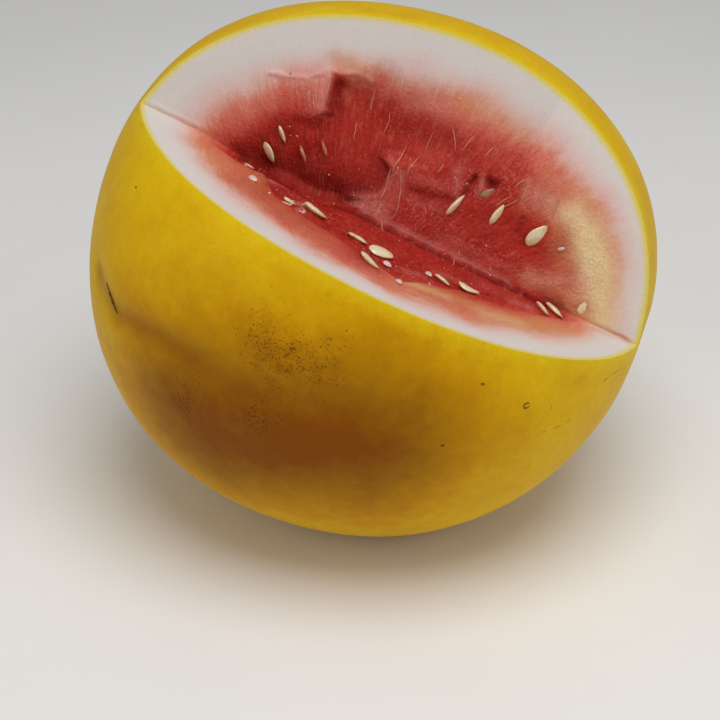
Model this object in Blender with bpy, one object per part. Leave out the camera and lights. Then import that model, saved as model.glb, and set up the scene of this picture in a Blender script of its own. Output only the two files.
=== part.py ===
"""A yellow-skinned watermelon with one wedge cut out of it, resting on its flat spot.

Metres, +Z up, with the origin on the ground under the middle of the fruit. Seen from the front, +X is right.
The fruit grew as one piece. The seeds that show on the two cut faces are pieces of their own, in pockets.
"""

import math
from collections import namedtuple

import bmesh
import bpy
from mathutils import Matrix, Quaternion, Vector

MM = 0.001

# The grown fruit, measured from its centre. Its stem axis runs from the stem end to the blossom end.
FRUIT_CENTRE = Vector((-1.4, 0.1, 101.7)) * MM
STEM_AXIS = Vector((0.956, -0.227, -0.187)).normalized()
STEM_HALF_LENGTH = 110.5 * MM
GIRTH_RADIUS = 105.9 * MM
FULLNESS = 2.11  # exponent of the section along the stem axis: 2 is an ellipse, and more is squarer

# Low ribs run from end to end and fade out at both ends.
RIB_COUNT = 10
RIB_HEIGHT = 0.4 * MM

# Broad swells (height above 0) and flats (below 0) lie round the outline that shows from the front and above.
OUTLINE_ELEVATION = math.radians(30)
OUTLINE_SWELLS = (
    # angle round the outline in degrees, height in millimetres
    (10, 3.3),
    (50, -1.1),
    (90, -3.0),
    (130, 2.2),
    (170, -1.0),
    (300, -2.2),
    (335, -1.4),
)
SWELL_REACH = math.radians(32)
FRONT_SWELL = 0.7 * MM
FRONT_SWELL_REACH = math.radians(45)

# The two knife cuts: each face's normal points into the notch, and its offset is from the fruit's centre.
UPPER_NORMAL = Vector((-0.129, -0.960, 0.249)).normalized()
UPPER_OFFSET = 25.3 * MM
LOWER_NORMAL = Vector((0.407, 0.087, 0.910)).normalized()
LOWER_OFFSET = 28.1 * MM
CUTTER_REACH = 160 * MM  # longer than the fruit's radius, so that the cuts go right through

GIRTH_SEGMENTS = 56
AXIS_RINGS = 34

# A seed is a flat drop: its shape is set by its length and these shares of it.
SEED_WIDTH = 0.58
SEED_THICKNESS = 0.21
SEED_TAPER = 0.24
SEED_SEGMENTS = 14
SEED_RINGS = 7
POCKET_GAP = 0.3 * MM

# along: millimetres along the crease from its middle, out: millimetres away from the crease.
# turn: degrees from the crease, roll: 0 is flat and 90 on edge, lift: the middle's height over the face.
Seed = namedtuple("Seed", "along out turn roll lift length")
UPPER_SEEDS = (
    Seed(-53.5, 4.3, -40, 50, -1.1, 8.4),
    Seed(-52.0, 12.8, -45, 72, -1.6, 7.5),
    Seed(-41.5, 9.2, -47, 78, -1.7, 7.0),
    Seed(-35.0, 14.8, -48, 78, -1.6, 6.5),
    Seed(19.0, 17.5, 74, 76, -1.6, 11.0),
    Seed(28.0, 26.8, 60, 30, -0.9, 6.5),
    Seed(35.0, 21.5, 81, 60, -1.2, 10.5),
    Seed(51.5, 21.0, 70, 30, 0.0, 10.4),
    Seed(79.5, 3.5, 85, 18, -0.4, 5.5),
)
LOWER_SEEDS = (
    Seed(-36.5, 26.5, 32, -8, -0.3, 5.5),
    Seed(-26.5, 24.0, 31, -25, -0.2, 11.0),
    Seed(-8.0, 30.0, 13, -22, -0.4, 8.5),
    Seed(2.0, 34.0, -17, 12, 0.2, 9.8),
    Seed(0.0, 47.5, 47, -28, -0.3, 11.0),
    Seed(26.5, 30.5, 31, -24, -0.3, 7.5),
    Seed(36.5, 28.0, 8, -8, 0.0, 8.5),
    Seed(65.5, 9.5, 54, -36, -0.4, 8.5),
    Seed(70.0, 4.5, 48, -24, -0.4, 9.8),
)
UPPER_SMALL_SEEDS = (Seed(62.0, 20.5, 40, 30, 0.2, 3.0),)
LOWER_SMALL_SEEDS = (
    Seed(-52.5, 23.0, 44, 20, 0.3, 4.5),
    Seed(6.0, 43.0, 36, 20, 0.3, 4.0),
    Seed(12.5, 54.0, 57, 20, 0.2, 3.5),
    Seed(21.0, 32.5, 53, 20, 0.2, 3.5),
)

# Linear colours and roughnesses as they look in daylight
SKIN = (0.68, 0.44, 0.03, 0.45)
WET_FLESH = (0.56, 0.06, 0.05, 0.35)
RIPE_SEED = (0.79, 0.69, 0.46, 0.40)
UNDEVELOPED_SEED = (0.85, 0.80, 0.72, 0.40)

Face = namedtuple("Face", "middle along out normal")


def clear_scene():
    for obj in list(bpy.data.objects):
        bpy.data.objects.remove(obj, do_unlink=True)


def principled(name, red, green, blue, roughness):
    """A non-metal material from linear colour values."""
    material = bpy.data.materials.new(name)
    material.use_nodes = True
    shader = material.node_tree.nodes["Principled BSDF"]
    shader.inputs["Base Color"].default_value = (red, green, blue, 1.0)
    shader.inputs["Roughness"].default_value = roughness
    shader.inputs["Metallic"].default_value = 0.0
    material.diffuse_color = (red, green, blue, 1.0)
    return material


def cut_faces():
    """The two cut faces as frames that share the crease, where they meet."""
    along = LOWER_NORMAL.cross(UPPER_NORMAL).normalized()
    planes = Matrix((UPPER_NORMAL, LOWER_NORMAL, along))
    middle = planes.inverted() @ Vector((UPPER_OFFSET, LOWER_OFFSET, 0.0)) + FRUIT_CENTRE
    upper = Face(middle, along, UPPER_NORMAL.cross(along), UPPER_NORMAL)
    lower = Face(middle, along, along.cross(LOWER_NORMAL), LOWER_NORMAL)
    return upper, lower


def swell(direction, towards, height, reach):
    """A smooth rise of a given height around one direction."""
    return height * math.exp(-((direction.angle(towards) / reach) ** 2))


def skin_radius(direction):
    """Distance from the fruit's centre to its skin."""
    along_axis = abs(direction.dot(STEM_AXIS))
    across_axis = math.sqrt(max(0.0, 1.0 - along_axis**2))
    section = (along_axis / STEM_HALF_LENGTH) ** FULLNESS + (across_axis / GIRTH_RADIUS) ** FULLNESS
    radius = section ** (-1.0 / FULLNESS)

    front = Vector((0.0, -math.cos(OUTLINE_ELEVATION), math.sin(OUTLINE_ELEVATION)))
    right = Vector((1.0, 0.0, 0.0))
    top = front.cross(right)
    radius += swell(direction, front, FRONT_SWELL, FRONT_SWELL_REACH)
    for degrees, height in OUTLINE_SWELLS:
        angle = math.radians(degrees)
        towards = right * math.cos(angle) + top * math.sin(angle)
        radius += swell(direction, towards, height * MM, SWELL_REACH)

    side = STEM_AXIS.cross(right.cross(STEM_AXIS)).normalized()
    turn = math.atan2(direction.dot(STEM_AXIS.cross(side)), direction.dot(side))
    return radius + RIB_HEIGHT * across_axis**2 * math.cos(RIB_COUNT * turn)


def object_from(bm, name, material):
    mesh = bpy.data.meshes.new(name)
    bm.to_mesh(mesh)
    bm.free()
    mesh.materials.append(material)
    mesh.shade_smooth()
    obj = bpy.data.objects.new(name, mesh)
    bpy.context.scene.collection.objects.link(obj)
    return obj


def as_cutter(obj):
    obj.hide_render = True
    obj.display_type = "WIRE"
    return obj


def make_whole_fruit(skin):
    bm = bmesh.new()
    bmesh.ops.create_uvsphere(bm, u_segments=GIRTH_SEGMENTS, v_segments=AXIS_RINGS, radius=1.0)
    to_axis = Vector((0.0, 0.0, 1.0)).rotation_difference(STEM_AXIS)
    for vertex in bm.verts:
        direction = (to_axis @ vertex.co).normalized()
        vertex.co = direction * skin_radius(direction)
    fruit = object_from(bm, "fruit", skin)
    fruit.location = FRUIT_CENTRE
    return fruit


def make_wedge_cutter(upper, lower, flesh):
    """A prism with two sides on the cut faces, wider than the fruit."""
    corners = (
        Vector((0.0, 0.0, 0.0)),
        upper.out * CUTTER_REACH,
        (upper.out + lower.out) * CUTTER_REACH,
        lower.out * CUTTER_REACH,
    )
    bm = bmesh.new()
    start = upper.middle - upper.along * CUTTER_REACH
    section = bm.faces.new([bm.verts.new(start + corner) for corner in corners])
    swept = bmesh.ops.extrude_face_region(bm, geom=[section])["geom"]
    moved = [item for item in swept if isinstance(item, bmesh.types.BMVert)]
    bmesh.ops.translate(bm, verts=moved, vec=upper.along * 2.0 * CUTTER_REACH)
    bmesh.ops.recalc_face_normals(bm, faces=bm.faces)
    return as_cutter(object_from(bm, "cutter_wedge", flesh))


def make_ground_cutter(skin):
    """A block whose top is the ground, which flattens the spot that the fruit rests on."""
    bm = bmesh.new()
    bmesh.ops.create_cube(bm, size=CUTTER_REACH)
    ground = object_from(bm, "cutter_ground", skin)
    ground.location = (FRUIT_CENTRE.x, FRUIT_CENTRE.y, -CUTTER_REACH / 2.0)
    return as_cutter(ground)


def make_seed(name, seed, face, material, gap=0.0):
    """A flat drop-shaped seed on a cut face, or its pocket when a gap is given."""
    length = seed.length * MM
    half_sizes = [length * share / 2.0 + gap for share in (1.0, SEED_WIDTH, SEED_THICKNESS)]
    bm = bmesh.new()
    bmesh.ops.create_uvsphere(bm, u_segments=SEED_SEGMENTS, v_segments=SEED_RINGS, radius=1.0)
    for vertex in bm.verts:
        across, through, lengthwise = vertex.co
        narrowing = 1.0 - SEED_TAPER * lengthwise
        vertex.co = (
            lengthwise * half_sizes[0],
            across * half_sizes[1] * narrowing,
            through * half_sizes[2] * narrowing,
        )
    obj = object_from(bm, name, material)

    turn = math.radians(seed.turn)
    lengthwise = face.along * math.cos(turn) + face.out * math.sin(turn)
    flat = face.normal.copy()
    flat.rotate(Quaternion(lengthwise, math.radians(seed.roll)))
    axes = Matrix((lengthwise, flat.cross(lengthwise), flat)).transposed()
    obj.rotation_euler = axes.to_euler()
    obj.location = (
        face.middle
        + face.along * seed.along * MM
        + face.out * seed.out * MM
        + face.normal * seed.lift * MM
    )
    return obj


def make_seeds(prefix, seeds, face, material, pockets, flesh):
    for number, seed in enumerate(seeds, start=1):
        make_seed(f"{prefix}_{number:02d}", seed, face, material)
        pocket = make_seed(f"cutter_{prefix}_{number:02d}", seed, face, flesh, POCKET_GAP)
        bpy.context.scene.collection.objects.unlink(pocket)
        pockets.objects.link(as_cutter(pocket))


def cut_with(fruit, name, cutter=None, collection=None):
    modifier = fruit.modifiers.new(name, "BOOLEAN")
    modifier.operation = "DIFFERENCE"
    modifier.solver = "EXACT"
    modifier.material_mode = "TRANSFER"
    if collection:
        modifier.operand_type = "COLLECTION"
        modifier.collection = collection
    else:
        modifier.object = cutter


def main():
    clear_scene()
    skin = principled("melon_skin", *SKIN)
    flesh = principled("melon_flesh", *WET_FLESH)
    ripe_seed = principled("ripe_seed", *RIPE_SEED)
    small_seed = principled("undeveloped_seed", *UNDEVELOPED_SEED)

    upper, lower = cut_faces()
    fruit = make_whole_fruit(skin)
    cut_with(fruit, "wedge cut out", make_wedge_cutter(upper, lower, flesh))
    cut_with(fruit, "flat spot", make_ground_cutter(skin))

    pockets = bpy.data.collections.new("seed_pockets")
    bpy.context.scene.collection.children.link(pockets)
    make_seeds("seed_upper", UPPER_SEEDS, upper, ripe_seed, pockets, flesh)
    make_seeds("seed_lower", LOWER_SEEDS, lower, ripe_seed, pockets, flesh)
    make_seeds("small_seed_upper", UPPER_SMALL_SEEDS, upper, small_seed, pockets, flesh)
    make_seeds("small_seed_lower", LOWER_SMALL_SEEDS, lower, small_seed, pockets, flesh)
    cut_with(fruit, "seed pockets", collection=pockets)


main()
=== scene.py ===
"""A yellow-skinned watermelon with one wedge cut out of it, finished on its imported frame.

Run as a script, it grows the fruit's skin and torn flesh, its seeds, loose strands and crumbs of flesh and
the marks on its skin, and sets up a plain pale studio. Shapes are worked out in millimetres, in the frame's
own place, and become meshes in metres.
"""

import math

import bpy
import numpy as np
from bpy.props import FloatProperty, FloatVectorProperty, IntProperty, PointerProperty
from bpy.types import Operator, Panel, PropertyGroup
from mathutils import Matrix, Vector


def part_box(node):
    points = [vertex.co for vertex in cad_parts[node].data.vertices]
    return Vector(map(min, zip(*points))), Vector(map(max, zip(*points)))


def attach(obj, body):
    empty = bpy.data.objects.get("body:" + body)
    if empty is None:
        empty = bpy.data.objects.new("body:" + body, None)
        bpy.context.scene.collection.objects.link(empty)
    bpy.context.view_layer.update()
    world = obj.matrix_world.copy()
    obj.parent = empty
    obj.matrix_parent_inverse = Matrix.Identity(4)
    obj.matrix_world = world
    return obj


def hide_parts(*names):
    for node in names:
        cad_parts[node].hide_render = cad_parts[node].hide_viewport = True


bl_info = {
    "name": "Cut Yellow Watermelon",
    "version": (1, 0, 0),
    "blender": (4, 5, 0),
    "location": "View3D > Sidebar > Watermelon",
    "description": "Finishes a yellow-skinned watermelon with a wedge cut out of it",
    "category": "Add Mesh",
}

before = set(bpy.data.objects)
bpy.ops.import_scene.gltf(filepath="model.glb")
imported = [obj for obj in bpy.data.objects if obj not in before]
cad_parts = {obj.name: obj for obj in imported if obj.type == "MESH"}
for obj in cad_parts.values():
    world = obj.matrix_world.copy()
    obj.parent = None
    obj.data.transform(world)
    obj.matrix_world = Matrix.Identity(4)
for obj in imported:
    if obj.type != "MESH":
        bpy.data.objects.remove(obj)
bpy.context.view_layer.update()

MM = 0.001


def unit(vector):
    """A vector's direction."""
    return np.array(vector, float) / np.linalg.norm(vector)


def ease(start, end, value):
    """0 before start, 1 past end and a smooth step between them, where end may be below start."""
    part = np.clip((value - start) / (end - start), 0.0, 1.0)
    return part * part * (3.0 - 2.0 * part)


def hump(distance, reach):
    """1 at no distance, fading out over about twice the reach."""
    return np.exp(-((distance / reach) ** 2))


def ripple(across, out, size):
    """Uneven waves from -1 to 1, about as long as the size given."""
    first = np.sin(2.1 * across / size + 1.3 * np.sin(1.7 * out / size + 0.5))
    second = np.sin(2.4 * out / size + 1.9 * np.sin(1.3 * across / size + 2.1))
    return (first + second) / 2


def line_distance(points, line):
    """Each point's distance to a bent line, and how far along the line the nearest place is, from 0 to 1."""
    line = np.array(line, float)
    nearest = np.full(points.shape[:-1], np.inf)
    place = np.zeros(points.shape[:-1])
    for index, (start, end) in enumerate(zip(line[:-1], line[1:])):
        run = end - start
        part = np.clip((points - start) @ run / (run @ run), 0.0, 1.0)
        distance = np.linalg.norm(points - start - part[..., None] * run, axis=-1)
        closer = distance < nearest
        nearest = np.where(closer, distance, nearest)
        place = np.where(closer, (index + part) / (len(line) - 1), place)
    return nearest, place


def profile(values, places):
    """Reads a value off a table of (place, value) pairs."""
    table = np.array(values, float)
    return np.interp(places, table[:, 0], table[:, 1])


# The grown fruit, in millimetres from its centre, as the frame has it.
FRUIT_CENTRE = np.array((-1.4, 0.1, 101.7))
STEM_AXIS = unit((0.956, -0.227, -0.187))
STEM_HALF_LENGTH = 110.5
GIRTH_RADIUS = 105.9
FULLNESS = 2.11
RIB_COUNT = 10
RIB_HEIGHT = 0.4
OUTLINE_ELEVATION = math.radians(30)
OUTLINE_SWELLS = ((10, 3.3), (50, -1.1), (90, -3.0), (130, 2.2), (170, -1.0), (300, -2.2), (335, -1.4))
SWELL_REACH = math.radians(32)
FRONT_SWELL = 0.7
FRONT_SWELL_REACH = math.radians(45)
SKIN_INSET = 0.3  # keeps the skin's own unevenness inside the frame's box
HALVINGS = 30  # steps that find the skin along a ray, far finer than the mesh

# The two knife cuts. Each normal points into the notch.
UPPER_NORMAL = unit((-0.129, -0.960, 0.249))
UPPER_OFFSET = 25.3
LOWER_NORMAL = unit((0.407, 0.087, 0.910))
LOWER_OFFSET = 28.1

# Directions of the notch: along its crease from left to right, and away from the crease on each face.
ALONG = unit(np.cross(LOWER_NORMAL, UPPER_NORMAL))
UPPER_OUT = unit(np.cross(UPPER_NORMAL, ALONG))
LOWER_OUT = unit(np.cross(ALONG, LOWER_NORMAL))
OUT = {"upper": UPPER_OUT, "lower": LOWER_OUT}
NOTCH_MIDDLE = unit(UPPER_NORMAL + LOWER_NORMAL)
CREASE_MIDDLE = FRUIT_CENTRE + np.linalg.solve(
    np.array((UPPER_NORMAL, LOWER_NORMAL, ALONG)), (UPPER_OFFSET, LOWER_OFFSET, 0.0)
)
NOTCH_TURN = 2 * math.pi - math.acos(LOWER_OUT @ UPPER_OUT)  # round the fruit's body, from face to face

# Where the red flesh ends on each face: degrees round the crease's middle, millimetres from it.
UPPER_FLESH_EDGE = (
    (0, 91), (8, 90), (16, 89), (22, 86), (31, 81), (39, 76), (46, 72), (54, 68), (63, 64), (71, 61),
    (90, 57), (110, 57), (129, 61), (139, 64), (148, 68), (158, 73), (168, 79), (180, 85),
)
LOWER_FLESH_EDGE = (
    (0, 88), (10, 86), (22, 81), (37, 75), (56, 72), (73, 70), (90, 68), (107, 68), (125, 70), (143, 75),
    (160, 80), (180, 87),
)
# How ripe the flesh is at a distance past its edge, towards the rind: 0 is white rind, 1 is the red heart.
UPPER_RIPENING = (
    (-38, 0.82), (-26, 0.80), (-19, 0.76), (-14, 0.66), (-11, 0.56), (-8, 0.48), (-5, 0.38), (-2, 0.26),
    (2, 0.12), (6, 0.05), (10, 0.0),
)
LOWER_RIPENING = (
    (-50, 0.84), (-28, 0.78), (-22, 0.71), (-15, 0.60), (-10, 0.50), (-6, 0.38), (-2, 0.23), (1, 0.11),
    (4, 0.04), (7, 0.0),
)

EDGE_WAVE, EDGE_WAVE_SIZE = 1.8, 11.0  # how far the flesh's edge wavers, and over what length
FAN_FOOT = (-5.0, -40.0)  # the upper face's fibres spread out from here
SEED_DIP_REACH = 4.2  # how far round a seed's middle the flesh draws back
MARK_WANDER = 0.5  # how far a mark's line strays from its places
HOLLOW_WANDER = 0.8

# The hollow torn in the upper face, in millimetres: places along the crease, or widths, at each place out.
HOLLOW_LEFT = ((0, -66), (10, -64), (20, -55), (25, -44), (28, -40.5), (32, -41), (38, -43), (50, -44))
HOLLOW_LEFT_SLOPE = ((0, 34), (16, 30), (22, 18), (26, 6), (30, 2.5), (40, 2.2))
HOLLOW_RIGHT = (
    (0, -20), (3.5, -18.5), (5, -14), (7.5, -9.5), (12, -7.5), (18, -7.5), (21, -9), (23, -6), (26, 8),
    (34, 14), (46, 12),
)
HOLLOW_RIGHT_SLOPE = ((0, 2), (18, 2.5), (22, 8), (28, 22), (46, 26))
HOLLOW_DEPTH = ((0, 0.44), (8, 0.46), (20, 0.62), (30, 0.8), (42, 0.7))  # shares of the full depth
# Its upper end and how softly that ends, in millimetres out at each place along.
HOLLOW_TOP = ((-47, 40), (-43, 42.5), (-38, 45), (-34, 49), (-29, 58), (12, 60))
HOLLOW_TOP_SLOPE = ((-44, 4), (-38, 6), (-34, 12), (-29, 24), (0, 30))
# The cut face left of the knife facet is darkened as painted shade for its other slant.
KNIFE_FACET = ((50, 35), (78, 37))  # left of these places along, the rind was cut at another slant

# Marks on each face: a line of places, its reach across in millimetres, and how strong it is. Height marks
# add millimetres. The others add a look: riper flesh, deep red that is partly painted shade in crevices,
# hollows and round seeds, pale dried flesh, grit of burst cells that is partly painted wet glints, tan
# or straw.
RIDGE = ((-66, 31.5), (-58, 34), (-51, 37), (-46, 42.5), (-41, 43.5), (-37, 45.5), (-30, 46.5))
LIP = ((-19, 3.5), (-13, 5), (-9, 8), (-7.5, 13), (-8, 19), (-11, 22))
SLIT = ((19.7, 22.5), (20.3, 26), (21.3, 30.5))
POCKET = ((2, 15.3), (9, 16), (16, 18.5))
HOLE = ((27.2, 31), (28.3, 30.6))
CREASE_SEAM = ((66, 2.0), (80, 1.2), (104, 0.3))
LOBE = ((61, 35), (68, 31), (75.5, 24.5), (81.5, 16), (85, 8), (88, 3))
LOBE_EDGE = ((44, 43), (57, 43), (68, 39.5), (78, 32), (85, 24), (88, 15))
UPPER_MARKS = {
    "height": (
        (RIDGE, 0.8, 0.65), (LIP, 1.0, 0.5), (SLIT, 0.9, -1.8), (POCKET, 1.8, -0.8), (HOLE, 2.0, -2.0),
        (((44, 24), (44.5, 19)), 1.2, -0.7), (((0, 21), (12, 22)), 2.5, 0.5),
        (((24, 35), (24, 27)), 1.4, 0.3), (((-44.5, 41), (-43.5, 34), (-41.5, 28)), 0.8, 0.5),
        (((-22, 3), (-14, 9), (-13, 18)), 5.0, -0.8),
    ),
    "ripe": (
        (((-41, 42), (-40, 36), (-37.5, 28)), 2.5, 0.3),
        (((-56, 14), (-44, 24)), 7.0, 0.12),
    ),
    # Deep red: partly the flesh's own darker red, partly painted shade in the crevice, the hollow's walls,
    # slits and pockets.
    "deep_red_and_shade": (
        (((-62, 1), (-45, 2.5), (-32, 3.5), (-20, 3)), 4.2, 0.62),
        (((-20.5, 2), (-13.5, 7.5), (-9.8, 11), (-9.3, 18)), 2.6, 0.5),
        (((-41, 39), (-39.5, 34), (-36.5, 27)), 2.4, 0.25), (((-26, 6), (-15, 12), (-14, 18)), 5.0, 0.25),
        (((13, 36), (4, 41)), 5.0, 0.25), (POCKET, 2.0, 0.5), (SLIT, 1.2, 0.9), (HOLE, 2.2, 1.0),
        (((44, 24), (44.5, 19)), 1.3, 0.5), (((33, 14), (38, 12)), 3.0, 0.25),
        (((47, 17), (56, 18)), 2.4, 0.35), (((66, 1.5), (72, 1.5)), 1.4, 0.8),
        (((-58, 9), (-50, 2)), 2.2, 0.35), (((-56, 17), (-49, 9)), 2.0, 0.25),
    ),
    "pale": (
        (RIDGE, 1.1, 0.6), (((-51, 38), (-45, 29)), 4.5, 0.4),
        (((-60, 36), (-52, 39), (-47, 44)), 3.0, 0.4), (((-31, 46.5), (-30, 46)), 1.0, 0.6),
        (LIP, 1.2, 0.35), (((-17, 2.5), (-7, 4)), 2.8, 0.5), (((-5, 4), (-4, 16)), 3.5, 0.25),
        (((-12, 48), (2, 48)), 4.0, 0.35), (((-46, 40), (-44.5, 35), (-42.5, 29)), 1.5, 0.5),
        (((-5, 20), (12, 21.5)), 2.5, 0.15), (((14, 31), (17, 22)), 2.0, 0.3),
        (((24, 33), (24.5, 26)), 1.0, 0.45), (((2, 12.5), (14, 13)), 1.4, 0.2),
        (((39, 40), (41, 30)), 1.0, 0.35), (((44, 38), (46, 30)), 1.0, 0.4),
        (((43, 36), (52, 33)), 4.5, 0.45), (((58, 6), (68, 9), (76, 12)), 4.0, 0.45),
        (((18, 4.5), (58, 5.0)), 1.5, 0.15), (((-16, 0.3), (50, 0.3)), 1.4, 0.4),
        (((-70, 8), (-62, 22)), 5.0, 0.25),
    ),
    # Grit: pale burst cells, with pale flecks that are partly painted wet glints.
    "grit_and_glints": (
        (((-16, 3), (-5, 3)), 3.0, 0.7), (((-4, 20), (14, 22)), 4.0, 0.4), (((2, 12), (15, 12)), 3.5, 0.5),
        (((15, 32), (24, 26), (33, 34)), 6.0, 0.6), (((2, 7), (70, 8)), 4.0, 0.45),
        (((30, 44), (50, 42)), 7.0, 0.4), (RIDGE, 1.6, 0.5), (LIP, 2.5, 0.5),
        (((-54, 34), (-44, 28)), 5.0, 0.6), (((-58, 38), (-47, 42)), 4.0, 0.4),
        (((-28, 36), (6, 34)), 8.0, 0.15),
    ),
    "tan": (
        (((-45, 48), (-33, 48.5)), 3.5, 0.6), (((4, 54), (16, 56), (28, 55)), 4.5, 0.5),
        (LOBE_EDGE, 2.2, 0.4), (((41, 36), (43, 28)), 3.0, 0.3), (((50, 33), (57, 27)), 4.0, 0.4),
        (CREASE_SEAM, 0.8, 1.0), (((56, 5), (66, 7), (78, 5)), 4.0, 0.5), (((60, 20), (66, 14)), 4.0, 0.3),
        (((-104, 0.3), (-88, 0.6), (-76, 0.8)), 0.7, 0.5),
    ),
    "straw": (
        (LOBE, 6.0, 0.9), (((68, 24), (74, 18), (78, 10)), 6.0, 0.5), (((50, 36), (58, 33)), 4.0, 0.3),
    ),
}

# The lower face.
TEAR_LINE = (
    (-72, 5), (-62, 11), (-50, 14.5), (-46, 20), (-42.5, 28), (-36, 33), (-18, 38), (-4, 44), (14, 50),
    (22, 42), (34, 33), (50, 27), (66, 18), (80, 6),
)
FURROW = ((-22, 2.4), (0, 2.7), (20, 2.6), (40, 2.2), (60, 1.6), (72, 1.0))
LOWER_MARKS = {
    "height": (
        (FURROW, 0.8, -0.7), (((-50, 12), (-36, 14)), 2.5, 0.8), (((-25, 9), (-12, 12)), 2.0, 0.7),
        (((10, 40), (18, 38)), 2.5, 0.8),
    ),
    # Deep red: partly the flesh's own darker red, partly painted shade in the crevice and the furrow under
    # the roll.
    "deep_red_and_shade": (
        (((-60, 1), (-40, 5), (-24, 7)), 4.0, 0.85), (((-24, 3), (-10, 3)), 1.6, 0.5), (FURROW, 1.0, 1.0),
        (((-50, 36), (-20, 46), (-4, 52)), 8.0, 0.2), (((-47, 22), (-42, 14)), 3.0, 0.4),
        (((-2, 40), (8, 40)), 3.5, 0.45), (((-5, 42), (1, 51)), 3.5, 0.3), (((-36, 20), (-30, 16)), 3.0, 0.3),
        (((62, 3), (74, 3)), 2.5, 0.4),
    ),
    "pale": (
        (((-12, 0.2), (50, 0.2)), 1.0, 0.4), (((-57, 12), (-40, 12)), 1.6, 0.35),
        (((12, 37), (17, 35)), 2.0, 0.5), (((25, 22), (32, 20)), 3.0, 0.25),
        (((54, 14), (60, 12)), 2.5, 0.3), (((-38, 30), (-36, 24), (-33, 19)), 1.3, 0.8),
        (((-20, 38), (-16, 37)), 1.5, 0.4), (((40, 10), (60, 9)), 5.0, 0.14),
        (((-32, 30), (-31.5, 22), (-31, 15)), 0.9, 0.8), (((-46, 12), (-36, 10)), 2.0, 0.3),
    ),
    # Grit: pale burst cells, with pale flecks that are partly painted wet glints.
    "grit_and_glints": (
        (((-10, 3), (60, 3)), 3.0, 0.25), (((10, 40), (20, 36)), 5.0, 0.7),
        (((-50, 14), (-30, 18)), 5.0, 0.5), (((-20, 24), (0, 22), (30, 20)), 9.0, 0.35),
        (((-60, 36), (-30, 48), (0, 58)), 6.0, 0.3), (((40, 22), (62, 14)), 5.0, 0.6),
        (((-34, 26), (-22, 20)), 4.0, 0.6),
    ),
    "tan": (
        (((14, 48), (28, 44), (44, 41), (60, 33), (72, 22)), 5.5, 0.75), (((84, 6), (100, 1)), 2.5, 0.5),
        (((10, 58), (40, 54), (66, 36), (80, 14)), 6.0, 0.4), (CREASE_SEAM, 0.8, 0.8),
        (((-76, 14), (-52, 21)), 8.0, 0.5), (((-66, 28), (-40, 40), (-20, 48)), 8.0, 0.35),
        (((-104, 0.3), (-88, 0.6), (-76, 0.8)), 0.7, 0.4),
    ),
    "straw": ((((16, 50), (30, 46)), 3.0, 0.35), (((44, 44), (58, 37)), 4.0, 0.3)),
}

# The crease: deep and dark on the left, filled by a soft roll in the middle, a knife line on the right.
CREVICE_DEPTH = (
    (-104, 0), (-90, 0.1), (-76, 0.5), (-60, 3.8), (-40, 6.0), (-24, 5.5), (-17, 1.5), (-12, 0), (64, 0),
    (72, 1.0), (84, 0.8), (100, 0.4), (104, 0),
)
CREVICE_REACH = (
    (-92, 1.0), (-76, 1.6), (-60, 3.8), (-40, 7.0), (-22, 5.5), (-10, 2.0), (66, 1.2), (104, 0.8),
)
ROLL_HEIGHT = ((-20, 0), (-12, 0.5), (20, 0.5), (50, 0.4), (66, 0))
ROLL_REACH = 2.2


def swell(directions, towards, height, reach):
    """How far a broad swell lifts the skin in each direction."""
    angle = np.arccos(np.clip(directions @ towards, -1.0, 1.0))
    return height * hump(angle, reach)


def skin_radius(directions):
    """Distance from the fruit's centre to its skin in each direction, in millimetres."""
    along_axis = np.abs(directions @ STEM_AXIS)
    across_axis = np.sqrt(np.maximum(1.0 - along_axis**2, 0.0))
    ends = (along_axis / STEM_HALF_LENGTH) ** FULLNESS
    girth = (across_axis / GIRTH_RADIUS) ** FULLNESS
    radius = (ends + girth) ** (-1.0 / FULLNESS)
    front = np.array((0.0, -math.cos(OUTLINE_ELEVATION), math.sin(OUTLINE_ELEVATION)))
    right = np.array((1.0, 0.0, 0.0))
    top = np.cross(front, right)
    radius = radius + swell(directions, front, FRONT_SWELL, FRONT_SWELL_REACH)
    for degrees, height in OUTLINE_SWELLS:
        turn = math.radians(degrees)
        towards = right * math.cos(turn) + top * math.sin(turn)
        radius = radius + swell(directions, towards, height, SWELL_REACH)
    side = unit(np.cross(STEM_AXIS, np.cross(right, STEM_AXIS)))
    turn = np.arctan2(directions @ np.cross(STEM_AXIS, side), directions @ side)
    return radius + RIB_HEIGHT * across_axis**2 * np.cos(RIB_COUNT * turn) - SKIN_INSET


def skin_distance(directions):
    """How far the skin is from the crease's middle in each direction, found by halving."""
    near = np.zeros(directions.shape[:-1])
    far = near + 2.5 * GIRTH_RADIUS
    for _ in range(HALVINGS):
        middle = (near + far) / 2
        offset = CREASE_MIDDLE + directions * middle[..., None] - FRUIT_CENTRE
        length = np.linalg.norm(offset, axis=-1)
        outside = length > skin_radius(offset / length[..., None])
        far = np.where(outside, middle, far)
        near = np.where(outside, near, middle)
    return (near + far) / 2


def flesh_edge(u, v, table):
    """How far a place on a face is past the edge of the red flesh, towards the rind."""
    turn = np.degrees(np.arctan2(v, u))
    return np.hypot(u, v) - profile(table, turn) - EDGE_WAVE * ripple(u, v, EDGE_WAVE_SIZE)


def hollow(u, v):
    """The torn hollow in the upper face, from 0 to 1: a steep wall on its left, fading out to the right."""
    wander = HOLLOW_WANDER * ripple(u, v, 5.0)
    left = profile(HOLLOW_LEFT, v)
    right = profile(HOLLOW_RIGHT, v)
    top = profile(HOLLOW_TOP, u) + wander
    rise = ease(left, left + profile(HOLLOW_LEFT_SLOPE, v), u + wander)
    fall = ease(right, right - profile(HOLLOW_RIGHT_SLOPE, v), u + wander)
    return profile(HOLLOW_DEPTH, v) * rise * fall * ease(top, top - profile(HOLLOW_TOP_SLOPE, u), v)


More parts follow.
